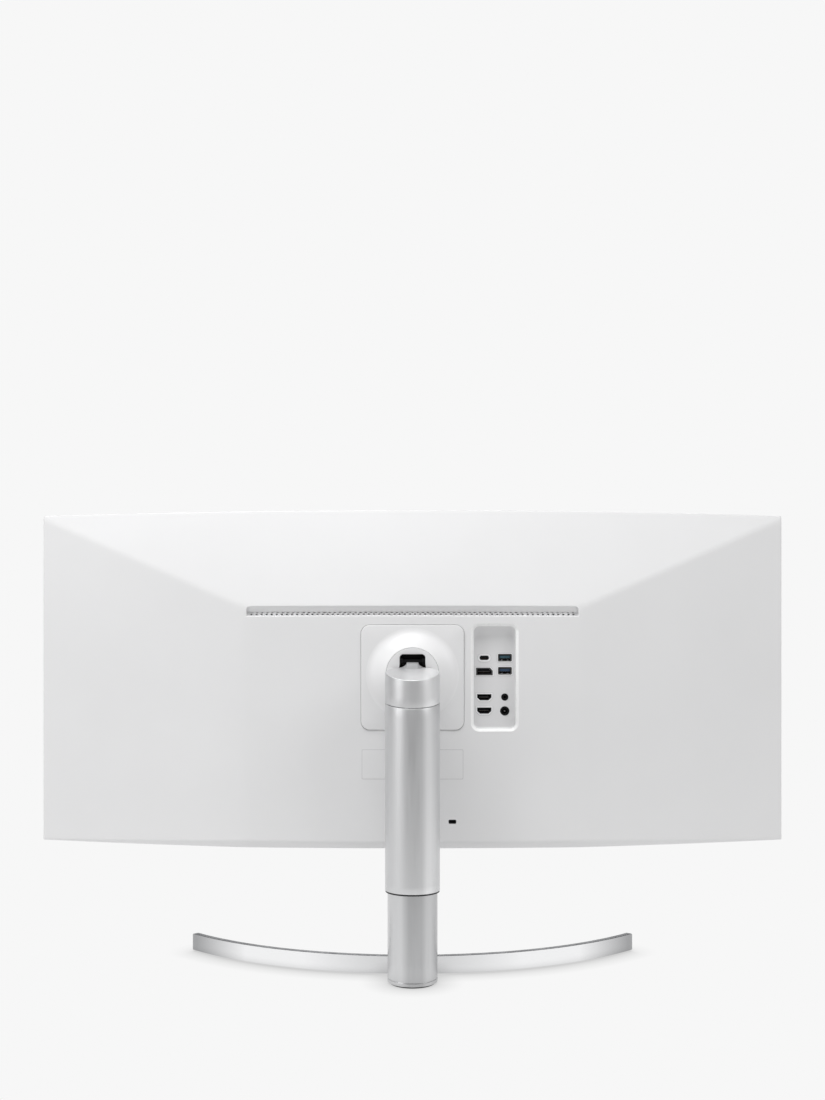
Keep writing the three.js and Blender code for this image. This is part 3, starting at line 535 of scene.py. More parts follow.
def rear_cover():
    cover = Mesh()
    openings = [(mount_hole, 0.35, 6), (bay_hole, BAY_LIP, 0), (vent_hole, 1.3, 1.8), (lock_hole, 0.3, 3)]
    holes = [stretch(hole(fillet), 6) for hole, fillet, _ in openings]
    rim = [0, 0.08, 0.32, 0.7, EDGE_ROUND]
    columns = steps_between(HEAD_LEFT + 2.5, HEAD_RIGHT - 2.5, 212)
    columns += [side * (PLATEAU_HALF + d) for side in (-1, 1) for d in steps_between(-6, 6, 8)]
    columns += [HEAD_LEFT + d for d in rim] + [HEAD_RIGHT - d for d in rim]
    rows = steps_between(HEAD_BOTTOM + 12, HEAD_TOP - 2.5, 94)
    rows += steps_between(HEAD_BOTTOM + 2, HEAD_BOTTOM + 11, 12)
    rows += [HEAD_BOTTOM + d for d in rim] + [HEAD_TOP - d for d in rim]
    columns, rows = sorted(set(columns)), sorted(set(rows))
    outline = [(x, HEAD_BOTTOM) for x in columns]
    outline += [(HEAD_RIGHT, z) for z in rows[1:]]
    outline += [(x, HEAD_TOP) for x in reversed(columns[:-1])]
    outline += [(HEAD_LEFT, z) for z in reversed(rows[1:-1])]
    near = []
    for hole in holes:
        xs, zs = zip(*hole)
        near.append((min(xs) - 1, max(xs) + 1, min(zs) - 1, max(zs) + 1))
    keep = [
        (x, z) for x in columns[1:-1] for z in rows[1:-1]
        if not any(x0 < x < x1 and z0 < z < z1 for x0, x1, z0, z1 in near)
    ]
    for side in (-1, 1):
        for k in range(1, 90):
            share = k / 90
            x = side * (HEAD_HALF - (HEAD_HALF - PLATEAU_HALF) * share)
            depth = COVER_EDGE_DEPTH + (COVER_DEPTH - COVER_EDGE_DEPTH) * share
            z = HEAD_TOP - (HEAD_TOP - CREASE_Z) * depth / COVER_DEPTH
            keep += [(x, z - 4), (x, z - 2), (x, z), (x, z + 2), (x, z + 4)]
    cover.sheet(outline, holes, on_cover, keep)
    made = make("cover_shell", cover, "white_textured", "head", ["rear_cover"], smooth=180)
    face_rear(made)
    smooth_like_surface(made)

    walls = Mesh()
    base = [(x, curve_y(x) - FRAME_DEPTH + 0.3, z) for x, z in outline]
    walls.loft([[on_cover(x, z) for x, z in outline], base])
    for hole, fillet, depth in openings:
        if hole is bay_hole:
            continue
        rings = []
        for i in range(7):
            angle = math.radians(90 * i / 6)
            grow, drop = fillet * (1 - math.sin(angle)), fillet * (1 - math.cos(angle))
            rings.append(grown(hole, fillet, grow, drop))
        rings.append(grown(hole, fillet, 0, max(depth, fillet + 0.5)))
        walls.loft(rings)
    lip = Mesh().loft([grown(bay_hole, BAY_LIP, grow, drop) for grow, drop in BAY_LIP_STEPS])
    # The lip's paler colour is a painted highlight.
    make("bay_lip", lip, "white_textured", "head", smooth=50, look="bay_lip_painted_highlight")
    make("cover_edges", walls, "white_textured", "head", smooth=50)


def grown(hole, fillet, grow, drop):
    """A hole's outline at one step of its rounded edge, with the same points at each step."""
    full, wanted = hole(fillet), hole(grow)
    ring = []
    for i, (x0, z0) in enumerate(full):
        x1, z1 = full[(i + 1) % len(full)]
        parts = max(1, math.ceil(math.hypot(x1 - x0, z1 - z0) / 6))
        a, b = wanted[i], wanted[(i + 1) % len(wanted)]
        for k in range(parts):
            x, z = a[0] + (b[0] - a[0]) * k / parts, a[1] + (b[1] - a[1]) * k / parts
            ring.append((x, cover_y(x, z) - drop, z))
    return ring


def face_rear(obj):
    """Turns a sheet so that its faces look backwards."""
    if sum(face.normal.y for face in obj.data.polygons) < 0:
        obj.data.flip_normals()


def smooth_like_surface(obj):
    """Shades the cover by its true surface, whatever its triangles are."""
    normals = []
    d = 0.4
    for vert in obj.data.vertices:
        x, z = vert.co.x / MM, vert.co.z / MM
        x = min(max(x, HEAD_LEFT + d), HEAD_RIGHT - d)
        z = min(max(z, HEAD_BOTTOM + d), HEAD_TOP - d)
        dx = (cover_y(x + d, z) - cover_y(x - d, z)) / (2 * d)
        dz = (cover_y(x, z + d) - cover_y(x, z - d)) / (2 * d)
        normals.append(Vector((-dx, 1, -dz)).normalized())
    obj.data.normals_split_custom_set_from_vertices(normals)


# ---------------------------------------------------------------- vent slot
def vent():
    """A trough under the top facet, deepest at the top, with one row of small holes at its foot."""
    profile = [  # depth below the plateau, distance down from the crease
        (1.7, 0), (2.0, 0.9), (2.6, 2.0), (3.5, 3.1), (4.6, 4.1),
        (5.6, 4.9), (6.1, 5.4), (6.2, 5.8), (5.2, 10.2),
    ]
    top_z, foot = CREASE_Z, profile[-1][0]
    slant = profile[-1][1]
    foot_z = top_z - slant
    half = VENT_HALF + 0.2

    def wall(x, s):
        for (d0, s0), (d1, s1) in zip(profile, profile[1:]):
            if s <= s1 + 1e-6:
                break
        depth = d0 + (d1 - d0) * (s - s0) / (s1 - s0)
        return (x, curve_y(x) + COVER_DEPTH - depth, top_z - s)

    count = 64
    pitch = 2 * (VENT_HALF - 2) / count
    holes = []
    for i in range(count):
        x = -VENT_HALF + 2 + pitch * (i + 0.5)
        holes.append(about(x, slant - 1.9, pitch * 0.44, 1.3, 0.6, 3))
    outline = stretch([(-half, profile[-2][1]), (half, profile[-2][1]), (half, slant), (-half, slant)], 3)
    grille = Mesh().sheet(outline, holes, wall)
    for hole in holes:
        front = [wall(x, s) for x, s in hole]
        back = [(x, y - 1.6, z) for x, y, z in front]
        grille.loft([front, back])
    xs = steps_between(-half, half, 64)
    grille.loft([[wall(x, step) for x in xs] for _, step in profile[:-1]], closed=False)
    grille.loft([
        [(x, curve_y(x) + COVER_DEPTH - foot, foot_z) for x in xs],
        [(x, curve_y(x) + COVER_DEPTH - 1.7, foot_z) for x in xs],
    ], closed=False)
    for x in (-half, half):
        side = [wall(x, step) for _, step in profile] + [(x, curve_y(x) + COVER_DEPTH - 1.7, foot_z)]
        grille.cap(side)
    make("vent_trough", grille, "white_textured", "head", ["vent_grille"], smooth=30)
    # Painted shade: a dark sheet behind the holes, so that they read dark.
    shadow = Mesh()
    shadow.loft([
        [(x, curve_y(x) + COVER_DEPTH - foot - 1.9, foot_z - 1) for x in xs],
        [(x, curve_y(x) + COVER_DEPTH - foot - 5.8, foot_z + 5) for x in xs],
    ], closed=False)
    make("vent_shade_sheet", shadow, "white_textured", "head", look="vent_shade")


# ---------------------------------------------------------------- port bay and sockets
SOCKETS = [
    "port_usb_c", "port_usb_a_upper", "port_usb_a_lower", "port_displayport",
    "port_hdmi_upper", "port_hdmi_lower", "port_headphone", "port_dc_in",
]
ROUND_SOCKETS = {"port_headphone": 1.75, "port_dc_in": 3.3}
SOCKET_GAP = {
    "port_usb_c": 0.7, "port_hdmi_upper": 0.4, "port_hdmi_lower": 0.4,
    "port_headphone": 0.1, "port_dc_in": 0.2,
}
USUAL_GAP = 0.75
TONGUES = {
    # width, height, look, rise above the middle, contacts
    "port_usb_c": (6.3, 0.7, "dark_plastic", 0, 8),
    "port_usb_a_upper": (11.6, 2.9, "usb_teal", 0.9, 4),
    "port_usb_a_lower": (11.6, 2.9, "usb_blue", 0.9, 4),
    "port_displayport": (13, 1.3, "dark_plastic", 0.3, 10),
    "port_hdmi_upper": (11.2, 1.1, "dark_plastic", 0.2, 10),
    "port_hdmi_lower": (11.2, 1.1, "dark_plastic", 0.2, 10),
}


def socket_outline(name, grow=0.0):
    """Outline of a socket's mouth in the floor of the bay."""
    x0, x1 = span(name, "x")
    z0, z1 = span(name, "z")
    g = grow
    if name in ROUND_SOCKETS:
        return circle((x0 + x1) / 2, (z0 + z1) / 2, (x1 - x0) / 2 + g, 40)
    if "usb_c" in name:
        return rounded(x0 - g, x1 + g, z0 - g, z1 + g, (z1 - z0) / 2 + g - 0.1, 8)
    if "usb_a" in name:
        return rounded(x0 - g, x1 + g, z0 - g, z1 + g, max(0.6 + g, 0.1), 4)
    if "hdmi" in name:
        across, up = 3.2, 2.7
        corners = [(x0 + across, z0), (x1 - across, z0), (x1, z0 + up), (x1, z1), (x0, z1), (x0, z0 + up)]
    else:
        corners = [(x0, z0), (x1, z0), (x1, z1), (x0 + 3, z1), (x0, z1 - 3)]
    cx, cz = (x0 + x1) / 2, (z0 + z1) / 2
    sx, sz = 1 + 2 * g / (x1 - x0), 1 + 2 * g / (z1 - z0)
    return [(cx + (x - cx) * sx, cz + (z - cz) * sz) for x, z in corners]


def port_bay():
    bay = Mesh()
    depth = cover_y((BAY_LEFT + BAY_RIGHT) / 2, 330) - BAY_FLOOR_Y
    rings = []
    for drop in (2.35, 2.6):
        rings.append([(x, cover_y(x, z) - drop, z) for x, z in bay_outline(-BAY_BEVEL)])
    for share in (0.3, 0.5, 0.65, 0.78, 0.88, 0.95, 1.0):
        below = depth * share
        left = depth - below
        foot = 5 - math.sqrt(max(0, 25 - max(0, 5 - left) ** 2))
        side = 1.4 - math.sqrt(max(0, 1.96 - max(0, 1.4 - left) ** 2))
        outline = bay_outline(-BAY_BEVEL - side, 1.3 * (below - 2.4), max(foot - side, 0))
        for_floor = BAY_FLOOR_Y * share
        rings.append([(x, (cover_y(x, z) - below) * (1 - share) + for_floor, z) for x, z in outline])
    rings[-1] = [(x, BAY_FLOOR_Y, z) for x, _, z in rings[-1]]
    bay.loft(rings)
    edge = [(x, z) for x, _, z in rings[-1]]
    holes = [socket_outline(name, SOCKET_GAP.get(name, USUAL_GAP)) for name in SOCKETS]
    bay.sheet(edge, holes, lambda x, z: (x, BAY_FLOOR_Y, z))
    for hole in holes:
        bay.loft([[(x, BAY_FLOOR_Y, z) for x, z in hole], [(x, BAY_FLOOR_Y - 1.4, z) for x, z in hole]])
    # The bay is painted in a darker copy of the cover's white: painted shade in the recess.
    make("bay_tray", bay, "white_textured", "head", ["port_bay"], smooth=38, look="bay_painted_shade")


def block(x0, x1, y0, y1, z0, z1):
    corners = [(x0, z0), (x1, z0), (x1, z1), (x0, z1)]
    return Mesh().loft([[(x, y, z) for x, z in corners] for y in (y0, y1)], start=True, end=True)


def sockets():
    rear = BAY_FLOOR_Y + 0.35
    back = BAY_FLOOR_Y - 7.5
    for name in SOCKETS:
        if name in ROUND_SOCKETS:
            round_socket(name, rear, back)
            continue
        mouth = partial(socket_outline, name)
        shell = banded(mouth, [
            (0, BAY_FLOOR_Y - 1.2), (0, rear - 0.12), (-0.12, rear),
            (-0.4, rear), (-0.52, rear - 0.12), (-0.55, back),
        ])
        # The shells are painted dark, black steel for the small gaps and dark metal for the rest: painted
        # shade in the socket mouths.
        look = "black_steel" if name in SOCKET_GAP else "port_metal_painted_shade"
        make(name + "_shell", shell, SLOT_OF[name], "head", [name], smooth=35, look=look)
        gap = SOCKET_GAP.get(name, USUAL_GAP)
        # Painted shade: a black ring fills the gap round the socket, where the gap opens into the dark body.
        gap_shade = banded(mouth, [(gap + 0.05, BAY_FLOOR_Y - 0.25), (-0.1, BAY_FLOOR_Y - 0.25)])
        make(name + "_gasket", gap_shade, SLOT_OF[name], "head", smooth=35, look="socket_black_and_painted_shade")
        # Painted shade: a black sleeve inside the shell keeps the socket's inside dark.
        cavity_shade = banded(mouth, [(-0.6, rear - 1.2), (-0.6, back + 0.3)], end=True)
        make(name + "_liner", cavity_shade, SLOT_OF[name], "head", smooth=35, look="socket_black_and_painted_shade")
        tongue(name, rear, back)
    surrounds()


def tongue(name, rear, back):
    """The blade inside a socket, with its contacts and, in USB-A, the springs below it."""
    wide, tall, look, rise, pins = TONGUES[name]
    x0, x1 = span(name, "x")
    z0, z1 = span(name, "z")
    cx, cz = (x0 + x1) / 2, (z0 + z1) / 2
    low = cz + rise - tall / 2
    blade = block(cx - wide / 2, cx + wide / 2, back, rear - 1.0, low, low + tall)
    made = make(name + "_tongue", blade, SLOT_OF[name], "head", smooth=30, look=look)
    soften(made, 0.18)
    gold = Mesh()
    half = wide * 0.22 / pins
    for i in range(pins):
        x = cx - wide / 2 + wide * (i + 0.5) / pins
        gold.join(block(x - half, x + half, back + 2, rear - 1.5, low - 0.08, low + 0.02))
    make(name + "_contacts", gold, SLOT_OF[name], "head", smooth=30, look="contact_gold")
    if "usb_a" in name:
        springs = Mesh()
        for x in (cx - 3.4, cx + 3.4):
            springs.join(block(x - 1, x + 1, back + 1, rear - 1.4, z0 + 0.62, z0 + 1.0))
        made = make(name + "_springs", springs, SLOT_OF[name], "head", smooth=30, look="port_metal")
        soften(made, 0.15)


def round_socket(name, rear, back):
    x0, x1 = span(name, "x")
    z0, z1 = span(name, "z")
    centre = ((x0 + x1) / 2, 0, (z0 + z1) / 2)
    outer = (x1 - x0) / 2
    bore = ROUND_SOCKETS[name]
    profile = [
        (outer, BAY_FLOOR_Y - 1.2), (outer, rear - 0.25), (outer - 0.1, rear - 0.05), (outer - 0.3, rear),
        (bore + 0.7, rear), (bore + 0.25, rear - 0.15), (bore, rear - 0.6), (bore, back), (0.02, back),
    ]
    body = Mesh().loft(turned(profile, "y", centre, 48))
    make(name + "_barrel", body, SLOT_OF[name], "head", [name], look="socket_black_and_painted_shade")
    if name == "port_dc_in":
        profile = [(0.75, back), (0.75, rear - 1.8), (0.5, rear - 1.3), (0.02, rear - 1.2)]
        pin = Mesh().loft(turned(profile, "y", centre, 20))
        make(name + "_pin", pin, SLOT_OF[name], "head", look="port_metal")


def surround_outline(name, grow):
    """Like the socket's mouth, but round-ended at any growth for the smallest socket."""
    if name != "port_usb_c":
        return socket_outline(name, grow)
    x0, x1 = span(name, "x")
    z0, z1 = span(name, "z")
    return rounded(x0 - grow, x1 + grow, z0 - grow, z1 + grow, (z1 - z0) / 2 + grow - 0.1, 8)


def surrounds():
    """Raised plates moulded around the sockets in the floor of the bay."""
    y = BAY_FLOOR_Y
    for name in TONGUES:
        grow = 2.9 if name == "port_usb_c" else 1.9
        near = SOCKET_GAP.get(name, USUAL_GAP)
        outline = partial(surround_outline, name)
        plate = banded(outline, [
            (grow, y - 0.05), (grow - 0.05, y + 0.25), (grow - 0.3, y + 0.45),
            (near + 0.3, y + 0.45), (near + 0.05, y + 0.3), (near, y - 0.05),
        ])
        make(name + "_surround", plate, "white_textured", "head", smooth=35, look="white_smooth")
        # Painted shade: a flat darker band round each plate stands in for a groove.
        groove = banded(outline, [(grow + 0.45, y + 0.04), (grow - 0.02, y + 0.04)])
        make(name + "_groove", groove, "white_textured", "head", smooth=35, look="groove_painted_shade")


# ---------------------------------------------------------------- stand mount, bell and hinge window
BELL_Z = sum(span("hinge_window", "z")) / 2
BELL_CENTRE = (0, 0, BELL_Z)
BELL_HOLE = 43
BELL_RADIUS = (span("hinge_dome", "x")[1] - span("hinge_dome", "x")[0]) / 2
WINDOW_Y = span("hinge_window", "y")[1]
WINDOW_RADIUS = 31
BELL_FLARE = 1.8
WINDOW_HALF = 14.5
WINDOW_LOW, WINDOW_HIGH = 338.5, 359.6


def mount_outline(inset):
    return rounded(
        MOUNT_LEFT + inset, MOUNT_RIGHT - inset, MOUNT_LOW + inset, MOUNT_HIGH - inset, MOUNT_CORNER - inset,
    )


def mount():
    steps = [(0, -4), (0, -0.75), (0.1, -0.35), (0.35, -0.1), (0.75, 0)]
    plate = banded(mount_outline, [(inset, MOUNT_Y + y) for inset, y in steps])
    inner = circle(0, BELL_Z, BELL_HOLE, 64)
    plate.sheet(mount_outline(0.75), [inner], lambda x, z: (x, MOUNT_Y, z))
    make("mount_plate", plate, "white_textured", "head", ["mount_cover"], smooth=38)


def bell():
    foot = MOUNT_Y + 0.03
    rise = WINDOW_Y - foot
    profile = []
    count = 30
    for i in range(count + 1):
        share = i / count
        radius = BELL_RADIUS - (BELL_RADIUS - WINDOW_RADIUS) * share
        profile.append((radius, foot + (rise - 0.5) * share ** BELL_FLARE))
    rim = [(0.1, 0.28), (0.35, 0.08), (0.75, 0), (1.0, 0.02), (1.05, 0.3), (1.05, 2)]
    profile += [(WINDOW_RADIUS - inset, WINDOW_Y - drop) for inset, drop in rim]
    shape = Mesh().loft(turned(profile, "y", BELL_CENTRE, 128))
    make("hinge_bell", shape, "white_smooth", "head", ["hinge_dome"], smooth=60)


def window_outline(grow=0.0):
    """Opening for the neck: rounded at the top, flaring out a little at the foot."""
    half, high, low = WINDOW_HALF + grow, WINDOW_HIGH + grow, WINDOW_LOW - grow
    flare = [(4.5, 0), (2.6, 2.6), (1.1, 5.2), (0.25, 7.8), (0, 10)]
    right = [(half + out, low + up) for out, up in flare]
    corner = 4.2
    for i in range(9):
        angle = math.radians(90 * i / 8)
        right.append((half - corner + corner * math.cos(angle), high - corner + corner * math.sin(angle)))
    return right + [(-x, z) for x, z in reversed(right)]


def window_plate():
    radius = WINDOW_RADIUS - 1.25
    plate = Mesh()
    y = WINDOW_Y - 0.05
    profile = [(radius, y - 1.6), (radius, y - 0.2), (radius - 0.08, y - 0.05), (radius - 0.3, y)]
    rim = turned(profile, "y", BELL_CENTRE, 96)
    plate.loft(rim)
    edge = [(x, z) for x, _, z in rim[-1]]
    plate.sheet(edge, [window_outline(0.3)], lambda x, z: (x, y, z))
    steps = [(0.3, 0), (0.1, -0.08), (0, -0.3), (0, -1.8)]
    plate.loft([[(x, y + drop, z) for x, z in window_outline(grow)] for grow, drop in steps])
    make("window_plate", plate, "grey_plastic", "head", ["hinge_window"], smooth=38)


def label():
    """A blank film where the rating label sits, with a flat band round it painted darker as the shade of a
    fine groove.
    """
    x0, x1 = span("label_plate", "x")
    z0, z1 = span("label_plate", "z")
    steps = [(0, 0.0), (0.02, 0.24), (0.12, 0.32)]
    outline = stretch(rounded(x0, x1, z0, z1, 1.2, 5), 5)

    def ring(inset, lift):
        points = []
        for x, z in outline:
            px = x + (inset if x < 0 else -inset)
            pz = z + (inset if z < (z0 + z1) / 2 else -inset)
            points.append((px, cover_y(px, pz) + lift, pz))
        return points

    # Painted shade: a flat band round the film stands in for the groove.
    groove = Mesh().loft([ring(-0.55, 0.02), ring(0.05, 0.02)])
    make("label_groove", groove, "white_textured", "head", smooth=30, look="groove_painted_shade")
    film = Mesh().loft([ring(*step) for step in steps])
    last = [(x, z) for x, _, z in ring(*steps[-1])]
    keep = [(x, z) for x in steps_between(x0 + 4, x1 - 4, 22) for z in steps_between(z0 + 4, z1 - 4, 5)]
    film.sheet(last, [], lambda x, z: (x, cover_y(x, z) + steps[-1][1], z), keep)
    slot = SLOT_OF["label_plate"]
    make("blank_label", film, slot, "head", ["label_plate"], smooth=30, look="label_film")


def lock_slot():
    y = cover_y(*LOCK)
    steps = [
        (0, y - 0.9), (0, y - 0.25), (-0.15, y - 0.1), (-0.75, y - 0.1), (-0.85, y - 0.2), (-0.85, y - 5),
    ]
    insert = banded(lambda g: about(*LOCK, 8.4 + 2 * g, 4.2 + 2 * g, 1.1 + g, 5), steps, end=True)
    make("lock_insert", insert, SLOT_OF["lock_slot"], "head", ["lock_slot"], smooth=38, look="black_steel")


def menu_stick():
    low, high = span("stick_knob", "z")
    profile = [
        (0.02, low + 0.7), (3.4, low + 0.5), (4.6, low + 0.15), (5.4, low), (6.0, low + 0.2),
        (6.35, low + 0.7), (6.5, low + 1.5), (6.5, low + 4.4), (6.2, low + 5.1), (5.4, low + 5.5),
        (3.4, low + 5.8), (3.0, low + 6.6), (3.0, high), (0.02, high),
    ]
    knob = Mesh().loft(turned(profile, "z", (0, STICK_Y, 0), 48))
    make("menu_stick", knob, SLOT_OF["stick_knob"], "stick", ["stick_knob"])


# ---------------------------------------------------------------- column
TUBE_RADIUS = span("outer_tube", "x")[1]
TUBE_BOTTOM = span("outer_tube", "z")[0]
INNER_RADIUS = span("inner_tube", "x")[1]
INNER_LOW, INNER_HIGH = span("inner_tube", "z")
SEAM_Z = 306.3
SEAM_SLOPE = 0.217
CAP_Z = 339.3
CAP_SLOPE = 0.2584
CAP_BEND = 0.00216
COLUMN_STEPS = 128
NECK_HALF = 6.8


def cap_z(y):
    """The top of the cap slopes down to the rear, a little steeper towards its edge."""
    return CAP_Z - CAP_SLOPE * y - CAP_BEND * y * y


def slanted(radius, height, slope):
    """A ring of the column cut by a plane that leans along Y."""
    ring = []
    for i in range(COLUMN_STEPS):
        a = 2 * math.pi * i / COLUMN_STEPS
        x, y = radius * math.cos(a), radius * math.sin(a)
        ring.append((x, y, height - slope * y))
    return ring


def round_column(rings):
    return turned(rings, "z", (0, 0, 0), COLUMN_STEPS)


def shoulder(degrees):
    """One step of the cap's rounded rim, which is crisp at the front of the slope and broad behind."""
    ring = []
    for i in range(COLUMN_STEPS):
        a = 2 * math.pi * i / COLUMN_STEPS
        behind = (1 - math.sin(a)) / 2
        fillet = 0.35 + 2.4 * behind
        turn = math.radians(degrees)
        radius = TUBE_RADIUS - fillet + fillet * math.cos(turn)
        x, y = radius * math.cos(a), radius * math.sin(a)
        ring.append((x, y, cap_z(y) - fillet + fillet * math.sin(turn)))
    return ring


def outer_tube():
    r, foot = TUBE_RADIUS, TUBE_BOTTOM
    rings = round_column([
        (28.3, foot + 6), (28.3, foot + 0.3), (28.5, foot + 0.05),
        (29.5, foot), (29.85, foot + 0.15), (r, foot + 0.5),
    ])
    rings += round_column([(r, z) for z in steps_between(foot + 8, 290, 8)])
    for inset, drop in ((0, 0.75), (0.08, 0.5), (0.35, 0.32), (1.2, 0.3)):
        rings.append(slanted(r - inset, SEAM_Z - drop, SEAM_SLOPE))
    tube = Mesh().loft(rings)
    # The outer tube's colour carries a painted reflection streak.
    make("tube_outer", tube, "brushed_silver", "column", ["outer_tube"], look="brushed_outer_painted_reflection")


def column_cap():
    rings = []
    for inset, lift in ((1.2, 0.3), (0.35, 0.32), (0.08, 0.5), (0, 0.75)):
        rings.append(slanted(TUBE_RADIUS - inset, SEAM_Z + lift, SEAM_SLOPE))
    low, high = slanted(TUBE_RADIUS, SEAM_Z + 0.75, SEAM_SLOPE), shoulder(0)
    for share in (0.35, 0.7):
        rings.append([tuple(a[k] + (b[k] - a[k]) * share for k in range(3)) for a, b in zip(low, high)])
    rings += [shoulder(90 * i / 8) for i in range(9)]
    for radius in (26.5, 24, 20, 16, 12, 8, 4, 0.02):
        rings.append([(x, y, cap_z(y)) for x, y, _ in slanted(radius, 0, 0)])
    cap = Mesh().loft(rings)
    # The cap's colour carries a painted reflection streak.
    make("cap_top", cap, "brushed_silver", "column", ["column_cap"], look="cap_silver_painted_reflection")


def neck():
    """The arm from the cap to the hinge, which spreads out where it meets the cap."""
    stations = [  # place on Y, top, flare of the foot
        (-46, 350.5, 0.01), (-40, 350.5, 0.01), (-34, 350.5, 0.01), (-31, 350.4, 0.3), (-29.5, 350.2, 1.5),
        (-28, 349.9, 4.5), (-27, 349.6, 7.0), (-26, 349.2, 7.9), (-24.5, 348.4, 7.9), (-23, 347.4, 7.5),
        (-21.5, 346.4, 6.8), (-19.5, 345.3, 6.0), (-17, 344.0, 5.0), (-14, 342.3, 4.0),
    ]
    rings = []
    for y, top, flare in stations:
        bottom = 343.6 if y < -30 else cap_z(y) - 0.2
        foot = max(0.1, min(5.6, top - bottom - 1))
        side = []
        for i in range(8):
            turn = math.radians(90 * i / 7)
            up = 1 - math.cos(turn)
            spread = 0.6 * (1 - math.sin(turn)) + 0.4 * (1 - up)
            side.append((NECK_HALF + flare * spread, bottom + foot * up))
        side += [(NECK_HALF, top - 0.9), (6.55, top - 0.35), (6.0, top - 0.05), (5.3, top)]
        outline = side + [(-x, z) for x, z in reversed(side)]
        rings.append([(x, y, z) for x, z in outline])
    arm = Mesh().loft(rings, start=True, end=True)
    # The neck's darker colour is painted shade.
    make("neck", arm, SLOT_OF["neck_arm"], "column", ["neck_arm"], smooth=45, look="neck_silver_painted_shade")


def inner_tube():
    high, low, r = INNER_HIGH, INNER_LOW, INNER_RADIUS
    profile = [(25.4, high), (27.0, high), (r, high - 0.3)]
    profile += [(r, z) for z in steps_between(high - 5, low + 0.4, 10)]
    profile += [(r - 0.1, low + 0.05), (r - 0.4, low)]
    inner = Mesh().loft(round_column(profile))
    # The inner tube's colour carries a painted reflection streak.
    make("tube_inner", inner, "brushed_silver", "base", ["inner_tube"], look="brushed_inner_painted_reflection")


def glide():
    low, high = span("glide_ring", "z")
    outer = span("glide_ring", "x")[1]
    ring = Mesh().loft(round_column([
        (27.7, high), (27.6, low + 0.2), (27.8, low), (outer - 0.4, low), (outer, low + 0.4), (outer, high),
    ]))
    make("glide_lip", ring, SLOT_OF["glide_ring"], "column", ["glide_ring"])


# ---------------------------------------------------------------- base
ARC_RADIUS = 384
ARC_CENTRE_Y = span("base_arc", "y")[1] - ARC_RADIUS
ARC_HALF_ANGLE = math.radians(44.5)
ARC_LOW, ARC_HIGH = span("base_arc", "z")
ARC_DEPTH = 24
ARC_TIP = 3.5
LEDGE = (2, 7)  # the points of the section between which its narrow top lies
FOOT_TOP = 6.2
PAD_ANGLE = 38


def arc_section(top, tuck):
    """Section of the base: upright rear face, narrow flat top and a long slope to the front."""
    low, front = ARC_LOW, -ARC_DEPTH
    return [
        (-tuck - 0.25, low), (-tuck, low + 0.3), (-tuck, top - 0.35), (-tuck - 0.1, top - 0.1),
        (-tuck - 0.35, top), (-7.0, top), (-7.8, top - 0.25), (-8.8, top - 0.95),
        (front + 0.8, top - 13.2), (front + 0.2, top - 13.9), (front, top - 14.6),
        (front, low + 0.3), (front + 0.25, low),
    ]


def arc():
    tip = ARC_TIP / ARC_RADIUS
    ends = [(tip * i / 5, 1 - i / 5) for i in range(6)]
    reach = ARC_HALF_ANGLE - tip * 1.6
    stations = [(-ARC_HALF_ANGLE + turn, share) for turn, share in ends]
    stations += [(a, 0) for a in steps_between(-reach, reach, 96)]
    stations += [(ARC_HALF_ANGLE - turn, share) for turn, share in reversed(ends)]
    rings = []
    for angle, share in stations:
        bend = 1 - math.sqrt(max(0, 1 - share * share))
        ring = []
        for inward, z in arc_section(ARC_HIGH - ARC_TIP * bend, 1.2 * bend):
            radius = ARC_RADIUS + inward
            ring.append((radius * math.sin(angle), ARC_CENTRE_Y + radius * math.cos(angle), z))
        rings.append(ring)
    first, last = LEDGE
    body = Mesh().loft([ring[last:] + ring[:first + 1] for ring in rings], closed=False)
    body.cap(rings[0])
    body.cap(rings[-1])
    # The arc's colour carries a painted reflection.
    make("arc_base", body, "brushed_silver", "base", ["base_arc"], smooth=32, look="brushed_arc_painted_reflection")
    # The narrow top is painted dark: a painted dark reflection.
    ledge = Mesh().loft([ring[first:last + 1] for ring in rings], closed=False)
    make("arc_ledge_painted_dark", ledge, "brushed_silver", "base", smooth=32, look="arc_ledge_painted_dark")


def foot():
    low = span("column_foot", "z")[0]
    r = INNER_RADIUS
    ring = Mesh().loft(round_column([
        (0.02, low), (r - 0.7, low), (r - 0.2, low + 0.15), (r, low + 0.6),
        (r, FOOT_TOP - 0.25), (r - 0.1, FOOT_TOP - 0.05), (r - 0.25, FOOT_TOP),
        (r - 0.25, FOOT_TOP + 0.6), (0.02, FOOT_TOP + 0.6),
    ]))
    # The foot ring shares the inner tube's painted reflection streak.
    make("foot_ring", ring, "brushed_silver", "base", ["column_foot"], look="brushed_inner_painted_reflection")


